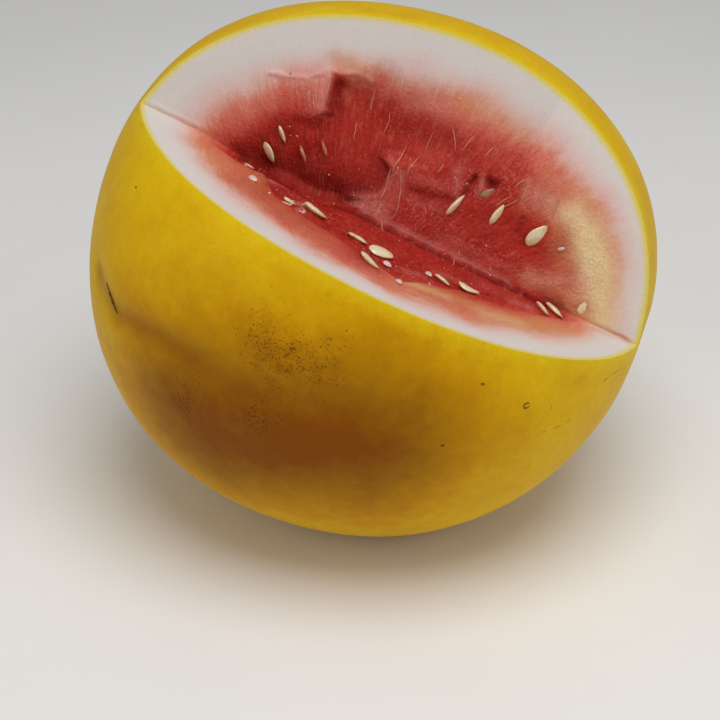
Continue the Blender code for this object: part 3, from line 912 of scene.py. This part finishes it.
def surface_tree():
    """Roughens the fruit: slow swells on its skin, and torn fibres and lumps where the flesh is torn."""
    tree, given, result = new_tree(
        "Melon surface",
        ("Skin Relief", "Skin Spacing", "Fibre Relief", "Fibre Spacing", "Lump Relief", "Lump Spacing"),
        Skin="Material", Flesh="Material",
    )
    place = add(tree, POSITION)
    torn = add(tree, NAMED, {"Name": "torn"})
    grain = add(tree, NAMED, {"Name": "grain"}, data_type="FLOAT_VECTOR")
    cut = add(tree, NAMED, {"Name": "cut"}, data_type="BOOLEAN")
    heights = []
    for field, kind, detail in ((place, "Skin", 1.0), (grain, "Fibre", 3.0), (place, "Lump", 3.0)):
        scale = add(tree, MATH, (1.0, given[kind + " Spacing"]), operation="DIVIDE")
        noise = add(tree, NOISE, {"Vector": field, "Scale": scale, "Detail": detail})
        centred = add(tree, MATH, (noise, 0.5), operation="SUBTRACT")
        heights.append(add(tree, MATH, (centred, given[kind + " Relief"]), operation="MULTIPLY"))
    swells, fibres, lumps = heights
    tears = add(tree, MATH, (fibres, lumps), operation="ADD")
    tears = add(tree, MATH, (tears, torn, swells), operation="MULTIPLY_ADD")
    normal = add(tree, "GeometryNodeInputNormal")
    shift = add(tree, VECTOR_MATH, {0: normal, "Scale": tears}, operation="SCALE")
    moved = add(tree, SET_POSITION, {"Geometry": given["Geometry"], "Offset": shift})
    x, y, z = add(tree, SPLIT, (place,), None)
    above = add(tree, MATH, (z, 0.0), operation="MAXIMUM")
    grounded = add(tree, SET_POSITION, {"Geometry": moved, "Position": add(tree, JOIN, (x, y, above))})
    return end_tree(tree, result, grounded, (given["Skin"], True), (given["Flesh"], cut))


def seed_tree():
    """Shapes one seed from a ball: a flat drop, blunt at one end, pointed at the other, thick at its edge."""
    tree, given, result = new_tree(
        "Seed", ("Taper", "Rim", "Bend", "Wobble"),
        Size="Vector", Place="Vector", Turn="Rotation", Material="Material",
    )
    ball = add(tree, "GeometryNodeMeshUVSphere", {"Segments": 40, "Rings": 24, "Radius": 1.0})
    place = add(tree, POSITION)
    x, y, z = add(tree, SPLIT, (place,), None)
    reach = {"Geometry": ball, "Name": "seed_reach", "Value": z}
    ball = add(tree, STORE, reach, data_type="FLOAT", domain="POINT")
    narrow = add(tree, MATH, (z, given["Taper"]), operation="MULTIPLY")
    narrow = add(tree, MATH, (1.0, narrow), operation="SUBTRACT")
    width = add(tree, MATH, (x, narrow), operation="MULTIPLY")
    edge = add(tree, MATH, (x, x), operation="MULTIPLY")
    rim = add(tree, MATH, (edge, given["Rim"], 1.0), operation="MULTIPLY_ADD")
    thick = add(tree, MATH, (y, rim), operation="MULTIPLY")
    thick = add(tree, MATH, (thick, narrow), operation="MULTIPLY")
    arch = add(tree, MATH, (z, z), operation="MULTIPLY")
    bent = add(tree, MATH, (arch, given["Bend"], thick), operation="MULTIPLY_ADD")
    sized = add(tree, VECTOR_MATH, (add(tree, JOIN, (width, bent, z)), given["Size"]), operation="MULTIPLY")
    uneven_at = add(tree, VECTOR_MATH, (place, given["Place"]), operation="ADD")
    noise = add(tree, NOISE, {"Vector": uneven_at, "Scale": 1.6, "Detail": 2.0}, "Color")
    centred = add(tree, VECTOR_MATH, (noise, (0.5, 0.5, 0.5)), operation="SUBTRACT")
    wobble = add(tree, VECTOR_MATH, {0: centred, "Scale": given["Wobble"]}, operation="SCALE")
    settled = add(tree, VECTOR_MATH, (sized, wobble), operation="ADD")
    formed = add(tree, SET_POSITION, {"Geometry": ball, "Position": settled})
    spot = {"Geometry": formed, "Translation": given["Place"], "Rotation": given["Turn"]}
    laid = add(tree, "GeometryNodeTransform", spot)
    return end_tree(tree, result, laid, (given["Material"], True))


LUMP_SIZE_POWER = 2.6  # the higher, the fewer large lumps


def scatter_tree():
    """Strews small lumps over a surface, as thickly as one of its attributes says."""
    tree, given, result = new_tree(
        "Strewn lumps", ("Density", "Least Size", "Most Size", "Flatness"),
        Surface="Object", Where="String", Seed="Int", Material="Material",
    )
    surface = add(tree, "GeometryNodeObjectInfo", {"Object": given["Surface"]}, "Geometry")
    where = add(tree, NAMED, {"Name": given["Where"]})
    density = add(tree, MATH, (where, given["Density"]), operation="MULTIPLY")
    thickly = {"Mesh": surface, "Density": density, "Seed": given["Seed"]}
    points, _, facing = add(tree, "GeometryNodeDistributePointsOnFaces", thickly, None)[:3]
    lump = add(tree, "GeometryNodeMeshUVSphere", {"Segments": 7, "Rings": 5, "Radius": 0.5})
    share, stretch, spin, tone = (
        add(tree, RANDOM, {LEAST: least, MOST: most, SEED: seed}, DRAWN, data_type="FLOAT")
        for least, most, seed in ((0.0, 1.0, given["Seed"]), (0.6, 1.5, 5), (0.0, 6.28, 9), (0.0, 1.0, 17))
    )
    mostly_small = add(tree, MATH, (share, LUMP_SIZE_POWER), operation="POWER")
    spread = add(tree, MATH, (given["Most Size"], given["Least Size"]), operation="SUBTRACT")
    size = add(tree, MATH, (mostly_small, spread, given["Least Size"]), operation="MULTIPLY_ADD")
    along = add(tree, MATH, (size, stretch), operation="MULTIPLY")
    thick = add(tree, MATH, (size, given["Flatness"]), operation="MULTIPLY")
    sizes = add(tree, JOIN, (size, along, thick))
    spin = add(tree, JOIN, (0.0, 0.0, spin))
    turned = add(tree, "FunctionNodeRotateRotation", (facing, spin), rotation_space="LOCAL")
    strewn = {"Points": points, "Instance": lump, "Rotation": turned, "Scale": sizes}
    lumps = add(tree, "GeometryNodeInstanceOnPoints", strewn)
    toned = {"Geometry": lumps, "Name": "tone", "Value": tone}
    lumps = add(tree, STORE, toned, data_type="FLOAT", domain="INSTANCE")
    return end_tree(tree, result, lumps, (given["Material"], True))


STRAND_END = 0.1  # a strand's thickness at its ends, as a share of its middle
STRAND_TONE = 0.55


def strand_tree():
    """Turns bent lines into thin strands with fine ends and an uneven course."""
    tree, given, result = new_tree(
        "Strands", ("Radius", "Wander", "Wander Length"), Points="Int", Sides="Int", Material="Material",
    )
    curves = add(tree, "GeometryNodeMeshToCurve", {"Mesh": given["Geometry"]})
    curves = add(tree, "GeometryNodeCurveSplineType", {"Curve": curves}, spline_type="CATMULL_ROM")
    even = add(tree, "GeometryNodeResampleCurve", {"Curve": curves, "Count": given["Points"]})
    scale = add(tree, MATH, (1.0, given["Wander Length"]), operation="DIVIDE")
    noise = add(tree, NOISE, {"Vector": add(tree, POSITION), "Scale": scale, "Detail": 2.0}, "Color")
    centred = add(tree, VECTOR_MATH, (noise, (0.5, 0.5, 0.5)), operation="SUBTRACT")
    wander = add(tree, VECTOR_MATH, {0: centred, "Scale": given["Wander"]}, operation="SCALE")
    winding = add(tree, SET_POSITION, {"Geometry": even, "Offset": wander})
    factor = add(tree, "GeometryNodeSplineParameter", out="Factor")
    half_turn = add(tree, MATH, (factor, math.pi), operation="MULTIPLY")
    tapered = add(tree, MATH, (half_turn,), operation="SINE")
    tapered = add(tree, MATH, (tapered, 0.6), operation="POWER")
    tapered = add(tree, MATH, (tapered, 1.0 - STRAND_END, STRAND_END), operation="MULTIPLY_ADD")
    girth = {"Resolution": given["Sides"], "Radius": given["Radius"]}
    ring = add(tree, "GeometryNodeCurvePrimitiveCircle", girth)
    tube = {"Curve": winding, "Profile Curve": ring, "Scale": tapered, "Fill Caps": True}
    tubes = add(tree, "GeometryNodeCurveToMesh", tube)
    tone = {"Geometry": tubes, "Name": "tone", "Value": STRAND_TONE}
    tubes = add(tree, STORE, tone, data_type="FLOAT", domain="POINT")
    return end_tree(tree, result, tubes, (given["Material"], True))


def finish_piece(piece, slot, *nodes):
    """Lets a piece ride on the fruit's one body and stand for its CAD nodes; the slot is not used."""
    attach(piece, "root")
    if nodes:
        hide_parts(*nodes)


def on_fruit(point, lift):
    """The nearest place on the grown fruit to a point in metres, lifted off its surface."""
    fruit = bpy.data.objects["melon_fruit"]
    found, place, normal, _ = fruit.closest_point_on_mesh(Vector(point))
    if not found:
        raise RuntimeError("the fruit has no surface near a mark")
    return place + normal * lift


def lines_mesh(name, lines, lift):
    """A mesh of bent lines laid on the fruit, from places in millimetres."""
    corners, edges = [], []
    for line in lines:
        first = len(corners)
        corners += [tuple(on_fruit(np.array(point) * MM, lift)) for point in line]
        edges += [(index, index + 1) for index in range(first, len(corners) - 1)]
    mesh = bpy.data.meshes.new(name)
    mesh.from_pydata(corners, edges, [])
    return mesh


def face_place(face_word, u, v):
    """A place on a cut face, in the frame's millimetres."""
    return CREASE_MIDDLE + u * ALONG + v * OUT[face_word]


def palette(settings):
    """The colours that the materials take, in linear light."""
    return {
        # The ramp's darker browns are partly painted shade low on the front of the skin.
        "warming_and_shade": (
            (0.0, (*settings.skin_yellow, 1.0)),
            (1.0, linear("884A02")),
            (0.25, linear("DCAE0A")),
            (0.5, (*settings.skin_amber, 1.0)),
            (0.78, linear("9E6A06")),
        ),
        "skin_brown": linear("8E5204"),
        "skin_lemon": linear("E8D01C"),
        "dirt": linear("5E300A"),
        "cork": linear("7A5A32"),
        "rim_lemon": linear("DCCB52"),
        "ripening": (
            (0.0, (*settings.rind_white, 1.0)),
            (1.0, linear("98180F")),
            (0.13, linear("DFBEB6")),
            (0.26, linear("DBA493")),
            (0.38, linear("D88770")),
            (0.48, linear("D36E5B")),
            (0.57, linear("CE5E50")),
            (0.68, linear("C3493A")),
            (0.80, (*settings.flesh_red, 1.0)),
        ),
        "straw": linear("E4CC9A"),
        "tan": linear("CF895A"),
        "pale": linear("DF968A"),
        # Pale grit, partly painted wet glints.
        "grit_and_glints": linear("E08E88"),
        # Deep red, partly painted shade.
        "deep_red_and_shade": linear("7A100B"),
        "fibre": linear("DB8672"),
        "floor": linear("F6F5F3"),
        "floor_shade": linear("F1F0EE"),
    }


class WatermelonFruitSettings(PropertyGroup):
    columns: IntProperty(name="Columns", description="Rings between the crease's ends", default=300, min=40)
    face_rows: IntProperty(name="Face Rows", description="Rows from the crease to a rim", default=88, min=20)
    skin_rows: IntProperty(name="Skin Rows", description="Rows over the skin", default=150, min=30)
    hollow_depth: FloatProperty(
        name="Hollow Depth", description="Depth of the torn hollow", default=7.0 * MM, subtype="DISTANCE"
    )
    tear_step: FloatProperty(
        name="Tear Step", description="Drop from the cut to torn flesh", default=1.5 * MM, subtype="DISTANCE"
    )
    skin_relief: FloatProperty(
        name="Skin Relief", description="Height of the skin's swells", default=0.5 * MM, subtype="DISTANCE"
    )
    skin_spacing: FloatProperty(
        name="Skin Spacing", description="Length of the skin's swells", default=26 * MM, subtype="DISTANCE"
    )
    fibre_relief: FloatProperty(
        name="Fibre Relief", description="Height of torn fibres", default=0.9 * MM, subtype="DISTANCE"
    )
    lump_relief: FloatProperty(
        name="Lump Relief", description="Height of torn lumps", default=1.5 * MM, subtype="DISTANCE"
    )
    lump_spacing: FloatProperty(
        name="Lump Spacing", description="Distance between torn lumps", default=7 * MM, subtype="DISTANCE"
    )


class WatermelonColourSettings(PropertyGroup):
    skin_yellow: FloatVectorProperty(
        name="Skin Yellow", description="The skin's colour", default=linear("E7C612")[:3], subtype="COLOR"
    )
    skin_amber: FloatVectorProperty(
        name="Skin Amber", description="The warmer skin", default=linear("C58C04")[:3], subtype="COLOR"
    )
    rind_white: FloatVectorProperty(
        name="Rind White", description="The cut rind", default=linear("DBD4CE")[:3], subtype="COLOR"
    )
    flesh_red: FloatVectorProperty(
        name="Flesh Red", description="The ripe flesh", default=linear("B53024")[:3], subtype="COLOR"
    )


class WatermelonSeedSettings(PropertyGroup):
    taper: FloatProperty(name="Taper", description="How narrow the point is", default=0.24, subtype="FACTOR")
    rim: FloatProperty(name="Rim", description="How thick the edge is", default=0.12, subtype="FACTOR")
    wobble: FloatProperty(
        name="Wobble", description="Unevenness of the seed coat", default=0.7 * MM, subtype="DISTANCE"
    )


class WatermelonDebrisSettings(PropertyGroup):
    crumbs: FloatProperty(name="Crumbs", description="Crumbs on a square metre of torn flesh", default=48000)
    largest_crumb: FloatProperty(
        name="Largest Crumb", description="Size of the largest crumb", default=0.9 * MM, subtype="DISTANCE"
    )
    specks: FloatProperty(name="Specks", description="Scab specks on a square metre of skin", default=900000)
    largest_speck: FloatProperty(
        name="Largest Speck", description="Size of the largest speck", default=0.65 * MM, subtype="DISTANCE"
    )
    random_seed: IntProperty(name="Random Seed", description="Sets where loose pieces fall", default=11)


class WatermelonStageSettings(PropertyGroup):
    floor_size: FloatProperty(name="Floor Size", description="Floor's width", default=8.0, subtype="DISTANCE")
    key_power: FloatProperty(name="Key Power", description="The main light", default=10.5, unit="POWER")
    fill_power: FloatProperty(name="Fill Power", description="Each side light", default=3.6, unit="POWER")
    sky_strength: FloatProperty(name="Sky Strength", description="The light from all round", default=0.24)
    lens: FloatProperty(name="Lens", description="Focal length", default=94.5, unit="CAMERA")


class WatermelonSettings(PropertyGroup):
    fruit: PointerProperty(type=WatermelonFruitSettings)
    colours: PointerProperty(type=WatermelonColourSettings)
    seeds: PointerProperty(type=WatermelonSeedSettings)
    debris: PointerProperty(type=WatermelonDebrisSettings)
    stage: PointerProperty(type=WatermelonStageSettings)


class WATERMELON_OT_fruit(Operator):
    """Grow the fruit's skin, rind and torn flesh"""
    bl_idname = "watermelon.fruit"
    bl_label = "Fruit"

    def execute(self, context):
        settings = context.scene.watermelon
        colours = palette(settings.colours)
        fruit = settings.fruit
        piece = made_by(surface_tree(), "melon_fruit", fruit_mesh(fruit), {
            "Skin Relief": fruit.skin_relief,
            "Skin Spacing": fruit.skin_spacing,
            "Fibre Relief": fruit.fibre_relief,
            "Fibre Spacing": 2.2,  # in the grain's own millimetres
            "Lump Relief": fruit.lump_relief,
            "Lump Spacing": fruit.lump_spacing,
            "Skin": waxy_skin(colours),
            "Flesh": wet_flesh(colours),
        })
        finish_piece(piece, "melon", "fruit")
        return {"FINISHED"}


def seed_placing(node):
    """A frame seed's middle, its turn, and its half sizes across, through and along, towards its point."""
    corners = np.array([corner.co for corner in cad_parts[node].data.vertices])
    middle = corners.mean(0)
    spread = np.linalg.svd(corners - middle, full_matrices=False)[2]
    long_way, wide_way = spread[0], spread[1]
    reach = (corners - middle) @ long_way
    width = (corners - middle) @ wide_way
    if (reach * width**2).sum() > 0:
        long_way = -long_way
    axes = np.array((wide_way, np.cross(long_way, wide_way), long_way)).T
    places = (corners - middle) @ axes
    low, high = places.min(0), places.max(0)
    centre = middle + axes @ ((low + high) / 2)
    return centre, Matrix(axes.tolist()).to_euler(), (high - low) / 2


def shape_seeds(start, slot, shape, plain, coats, bends):
    """Shapes each frame seed whose name starts so, in its own coat and with its own bend where it has one."""
    tree = seed_tree()
    for node in sorted(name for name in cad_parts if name.startswith(start)):
        centre, turn, size = seed_placing(node)
        piece = made_by(tree, node + "_coat", bpy.data.meshes.new("empty"), {
            "Size": tuple(size.tolist()), "Place": tuple(centre.tolist()), "Turn": turn,
            "Bend": bends.get(node, 0.0), "Material": coats.get(node, plain), **shape,
        })
        finish_piece(piece, slot, node)


class WATERMELON_OT_seeds(Operator):
    """Shape the ripe seeds on both cut faces"""
    bl_idname = "watermelon.seeds"
    bl_label = "Ripe Seeds"

    def execute(self, context):
        seeds = context.scene.watermelon.seeds
        cream, tan, red = linear("EAD9B0"), linear("CFAE74"), linear("B8402F")
        film = linear("CE8C64"), linear("B4583C"), linear("AC3C2C")
        plain = seed_coat("Wet ripe seed coat", cream, tan, red, 0.0)
        filmed = seed_coat("Seed coat under a film of flesh", *film, 0.4)
        olive = seed_coat("Unripe olive seed coat", linear("9A8A62"), linear("6F5F3C"), red, 0.35)
        spotted = seed_coat("Seed coat with shreds of flesh", cream, tan, linear("C8594A"), 0.3)
        coats = {
            "seed_upper_02": spotted, "seed_lower_01": spotted, "seed_lower_03": spotted,
            "seed_lower_05": spotted, "seed_upper_03": filmed, "seed_upper_04": filmed,
            "seed_upper_06": olive,
        }
        bends = {"seed_lower_07": 0.9, "seed_lower_02": 0.35, "seed_lower_05": 0.5, "seed_lower_01": 0.5}
        shape = {"Taper": seeds.taper, "Rim": seeds.rim, "Wobble": seeds.wobble}
        shape_seeds("seed_", "ripe_seed", shape, plain, coats, bends)
        return {"FINISHED"}


class WATERMELON_OT_small_seeds(Operator):
    """Shape the soft white seeds that never ripened"""
    bl_idname = "watermelon.small_seeds"
    bl_label = "Undeveloped Seeds"

    def execute(self, context):
        seeds = context.scene.watermelon.seeds
        soft = linear("E8D0C4"), linear("E0C4AE"), linear("D08478")
        coat = seed_coat("Soft undeveloped seed coat", *soft, 0.35)
        shape = {"Taper": seeds.taper, "Rim": 0.1, "Wobble": 0.6 * seeds.wobble}
        shape_seeds("small_seed_", "undeveloped_seed", shape, coat, {}, {})
        return {"FINISHED"}


# Strands that stand out singly, on the face named.
SINGLE_STRANDS = (
    ("upper", ((-9.5, 22), (-8.5, 16), (-7.5, 10), (-8, 3), (-8.5, 0))),
    ("upper", ((-6, 22), (-3, 16), (-1, 10), (0, 4), (-2, 0.5))),
    ("upper", ((-45.5, 40), (-43.5, 35), (-42.3, 31))),
    ("upper", ((-43.8, 39), (-42.8, 35), (-42.2, 32))),
    ("upper", ((-47.5, 38), (-46, 33), (-45, 28))),
    ("upper", ((-50, 36), (-48.5, 31), (-47.5, 27))),
    ("upper", ((5, 44), (8, 40), (10, 36))),
    ("upper", ((40, 39), (40, 30))),
    ("upper", ((45.5, 37), (45, 30.5))),
    ("upper", ((48, 38), (48, 30))),
    ("upper", ((53, 38), (53.5, 29))),
    ("upper", ((28, 3), (28.5, 0.5))),
    ("upper", ((41, 2.5), (42, 0.5))),
    ("lower", ((-60, 7), (-57.5, 4), (-56, 1.5))),
    ("lower", ((27, 1), (28, 4), (27.5, 6.5))),
    ("lower", ((-3, 1), (-2, 4), (-1, 6.5))),
)
# Shreds of seed skin and pulp that hang by the seeds, and curl.
SEED_SHREDS = (
    ("lower", ((-39, 28.5), (-37.5, 30.5), (-35.5, 29), (-36, 25), (-34.8, 20.5))),
    ("lower", ((-31.8, 29.5), (-30.2, 28.5), (-31, 25.5))),
    ("lower", ((-32, 22), (-31.4, 17.5), (-30.8, 13.5))),
    ("lower", ((-57, 2.5), (-58.5, 6.5), (-57.8, 11))),
    ("lower", ((-59.5, 4), (-57, 5), (-55.5, 3))),
    ("lower", ((-44.6, 31), (-43.8, 28.5))),
    ("lower", ((22.5, 40.5), (22.8, 38.5))),
)
# Patches of fine strands on the upper face: how many, from left to right, from low to high, and how long.
STRAND_PATCHES = (
    (6, -56, -47, 30, 36, 6), (6, -30, 2, 26, 44, 10), (5, 38, 56, 30, 40, 6), (4, 5, 40, 30, 46, 7),
)


def on_faces(lines):
    """Lines on the cut faces as places in the frame's millimetres."""
    return [[face_place(face_word, u, v) for u, v in line] for face_word, line in lines]


def lay_strands(tree, name, lines, finish, lift, radius, points, wander, over, sides=8):
    """A piece of thin strands along lines on the fruit, in millimetres; over is the length of one wander."""
    piece = made_by(tree, name, lines_mesh(name + "_lines", lines, lift * MM), {
        "Radius": radius * MM, "Points": points, "Sides": sides, "Wander": wander * MM,
        "Wander Length": over * MM, "Material": finish,
    })
    finish_piece(piece, "melon")


class WATERMELON_OT_strands(Operator):
    """Lay torn strands of flesh over the hollow, the lip and the crease"""
    bl_idname = "watermelon.strands"
    bl_label = "Flesh Strands"

    def execute(self, context):
        draw = np.random.default_rng(context.scene.watermelon.debris.random_seed)
        lines = on_faces(SINGLE_STRANDS)
        for count, left, right, low, high, length in STRAND_PATCHES:
            for _ in range(count):
                u, v = draw.uniform(left, right), draw.uniform(low, high)
                towards = unit((FAN_FOOT[0] - u, FAN_FOOT[1] - v))
                reach = length * draw.uniform(0.5, 1.2)
                bow = draw.uniform(-0.5, 0.5)
                lines.append([
                    face_place("upper", u + towards[0] * reach * part + bow * math.sin(math.pi * part),
                               v + towards[1] * reach * part)
                    for part in np.linspace(0.0, 1.0, 5)
                ])
        pulp = torn_pulp("Torn pale strands of flesh", linear("BC5A46"), linear("CF7E62"), linear("E0AA86"))
        husk = torn_pulp("Pale shreds of seed skin", linear("C88A74"), linear("E0B49C"), linear("EAD2BE"))
        tree = strand_tree()
        fine = {"lift": 0.12, "radius": 0.2, "points": 16, "wander": 0.7, "over": 8, "sides": 6}
        lay_strands(tree, "flesh_strands", lines, pulp, **fine)
        shreds = on_faces(SEED_SHREDS)
        lay_strands(tree, "seed_shreds", shreds, husk, lift=0.3, radius=0.5, points=14, wander=0.5, over=5)
        return {"FINISHED"}


def strew(name, finish, where, density, *, smallest, largest, flatness, random_seed):
    """A piece of small lumps strewn over the fruit as thickly as one of its looks says, sizes in metres."""
    piece = made_by(scatter_tree(), name, bpy.data.meshes.new("empty"), {
        "Surface": bpy.data.objects["melon_fruit"], "Where": where, "Density": density,
        "Least Size": smallest, "Most Size": largest, "Flatness": flatness, "Seed": random_seed,
        "Material": finish,
    })
    finish_piece(piece, "melon")


class WATERMELON_OT_crumbs(Operator):
    """Strew loose wet juice cells over the torn flesh"""
    bl_idname = "watermelon.crumbs"
    bl_label = "Flesh Crumbs"

    def execute(self, context):
        debris = context.scene.watermelon.debris
        pulp = torn_pulp("Loose wet juice cells", linear("B23A2E"), linear("C65A4C"), linear("DE9C86"))
        strew(
            "flesh_crumbs", pulp, "crumb", debris.crumbs, smallest=0.25 * MM, largest=debris.largest_crumb,
            flatness=0.6, random_seed=debris.random_seed,
        )
        return {"FINISHED"}


# Marks on the skin: lines and places in the frame's millimetres.
SKIN_SCRATCHES = (
    ((-100.9, -44.4, 119.0), (-99.1, -49.0, 115.6), (-97.0, -53.6, 111.7)),
    ((-99.8, -47.2, 117.0), (-98.2, -51.0, 113.8), (-96.3, -54.6, 111.0)),
)
SKIN_RING = (54.0, -94.7, 96.1)  # a healed prick, with a cork ring round it
SKIN_RING_RADIUS = 1.25
SKIN_RING_SQUASH = 0.85
SKIN_RING_ACROSS = unit((0.87, 0.49, 0.0))
SKIN_DOTS = ((-86.9, -42.5, 157.3), (36.8, -101.8, 109.4), (23.0, -104.2, 85.8))
DOT_STEPS = np.array(((0.0, 0.0, 0.0), (1.0, 0.0, -0.4), (1.9, 0.0, -0.5)))  # a dot is a very short line
# Lines of painted shade along the skin's fine folds.
SKIN_FOLD_SHADE_LINES = (
    ((59.5, -91.1, 112.9), (62.6, -89.4, 95.4), (64.7, -86.8, 87.1)),
    ((56.7, -91.0, 82.1), (62.5, -86.6, 80.6), (69.1, -81.7, 80.5), (73.7, -78.2, 82.7)),
    ((95.6, -51.5, 89.2), (90.0, -61.0, 90.2), (82.9, -70.5, 90.4), (74.8, -78.8, 89.0)),
)


class WATERMELON_OT_skin_marks(Operator):
    """Add the corky specks, the healed ring, the scratch, the dots and painted shade along the fine folds on
    the skin
    """
    bl_idname = "watermelon.skin_marks"
    bl_label = "Skin Marks"

    def execute(self, context):
        debris = context.scene.watermelon.debris
        cork = cork_and_fold_shade("Cork specks", linear("5E2C02"), linear("844404"))
        strew(
            "skin_specks", cork, "speck", debris.specks, smallest=0.12 * MM, largest=debris.largest_speck,
            flatness=0.1, random_seed=debris.random_seed,
        )
        scab = cork_and_fold_shade("Scratch scab", linear("5E3A14"), linear("8A5820"))
        dots = [np.array(dot) + DOT_STEPS for dot in SKIN_DOTS]
        up = np.array((0.0, 0.0, SKIN_RING_SQUASH))
        ring = [
            np.array(SKIN_RING) + SKIN_RING_RADIUS * (math.cos(turn) * SKIN_RING_ACROSS + math.sin(turn) * up)
            for turn in np.linspace(0.0, 2 * math.pi, 9)
        ]
        # Darker yellow strands laid as painted shade along the folds.
        fold_shade = cork_and_fold_shade("Painted shade along skin folds", linear("AC8006"), linear("BE940E"))
        tree = strand_tree()
        marks = (
            ("skin_ring", [ring], scab, -0.08, 0.38, 24, 0.2, 2),
            ("skin_scratches", SKIN_SCRATCHES, scab, -0.1, 0.75, 24, 0.8, 3),
            ("skin_dots", dots, scab, -0.25, 0.6, 6, 0.1, 3),
            ("skin_folds", SKIN_FOLD_SHADE_LINES, fold_shade, -0.36, 0.5, 30, 0.8, 5),
        )
        for name, lines, finish, *sizes in marks:
            lay_strands(tree, name, lines, finish, *sizes)
        return {"FINISHED"}


# The camera looks down at the photo's 30 degrees, and the lights aim at the fruit's middle; in metres.
CAMERA_PLACE = (-0.0053, -0.6674, 0.4456)
CAMERA_TILT = math.radians(60)
LIGHT_AIM = Vector((0.0, 0.0, 0.1))


class WATERMELON_OT_stage(Operator):
    """Set up the pale floor, the soft lights and the camera"""
    bl_idname = "watermelon.stage"
    bl_label = "Stage"

    def execute(self, context):
        stage = context.scene.watermelon.stage
        colours = palette(context.scene.watermelon.colours)
        half = stage.floor_size / 2
        mesh = bpy.data.meshes.new("floor")
        corners = [(-half, -half, 0), (half, -half, 0), (half, half, 0), (-half, half, 0)]
        mesh.from_pydata(corners, [], [(0, 1, 2, 3)])
        mesh.materials.append(matt_board(colours))
        floor = bpy.data.objects.new("floor", mesh)
        context.scene.collection.objects.link(floor)
        for name, place, size, power in (
            ("key_light", Vector((0.1, -0.45, 1.3)), 0.9, stage.key_power),
            ("left_light", Vector((-1.3, -0.7, 0.6)), 1.2, stage.fill_power),
            ("right_light", Vector((1.3, -0.6, 0.6)), 1.2, stage.fill_power),
        ):
            light = bpy.data.lights.new(name, "AREA")
            light.shape = "DISK"
            light.size = size
            light.energy = power
            lamp = bpy.data.objects.new(name, light)
            lamp.location = place
            lamp.rotation_euler = (LIGHT_AIM - place).to_track_quat("-Z", "Y").to_euler()
            context.scene.collection.objects.link(lamp)
        world = bpy.data.worlds.new("pale_room")
        world.use_nodes = True
        sky = world.node_tree.nodes["Background"]
        sky.inputs["Color"].default_value = linear("FFFFFF")
        sky.inputs["Strength"].default_value = stage.sky_strength
        context.scene.world = world
        lens = bpy.data.cameras.new("camera")
        lens.lens = stage.lens
        lens.sensor_width = 36.0
        camera = bpy.data.objects.new("camera", lens)
        camera.location = CAMERA_PLACE
        camera.rotation_euler = (CAMERA_TILT, 0.0, 0.0)
        context.scene.collection.objects.link(camera)
        context.scene.camera = camera
        context.scene.view_settings.view_transform = "Standard"
        return {"FINISHED"}


OPERATORS = (
    WATERMELON_OT_stage,
    WATERMELON_OT_fruit,
    WATERMELON_OT_seeds,
    WATERMELON_OT_small_seeds,
    WATERMELON_OT_strands,
    WATERMELON_OT_crumbs,
    WATERMELON_OT_skin_marks,
)


class WATERMELON_PT_sidebar(Panel):
    """The watermelon's pieces, sizes and colours"""
    bl_label = "Watermelon"
    bl_idname = "WATERMELON_PT_sidebar"
    bl_space_type = "VIEW_3D"
    bl_region_type = "UI"
    bl_category = "Watermelon"

    def draw(self, context):
        for operator in OPERATORS:
            self.layout.operator(operator.bl_idname)
        settings = context.scene.watermelon
        for group in (settings.fruit, settings.colours, settings.seeds, settings.debris, settings.stage):
            box = self.layout.box()
            for name in group.bl_rna.properties.keys():
                if name not in {"rna_type", "name"}:
                    box.prop(group, name)


CLASSES = (
    WatermelonFruitSettings,
    WatermelonColourSettings,
    WatermelonSeedSettings,
    WatermelonDebrisSettings,
    WatermelonStageSettings,
    WatermelonSettings,
    *OPERATORS,
    WATERMELON_PT_sidebar,
)


def register():
    for cls in CLASSES:
        bpy.utils.register_class(cls)
    bpy.types.Scene.watermelon = PointerProperty(type=WatermelonSettings)


def unregister():
    del bpy.types.Scene.watermelon
    for cls in reversed(CLASSES):
        bpy.utils.unregister_class(cls)


def main():
    register()
    for operator in OPERATORS:
        group, name = operator.bl_idname.split(".")
        getattr(getattr(bpy.ops, group), name)()


if __name__ == "__main__":
    main()
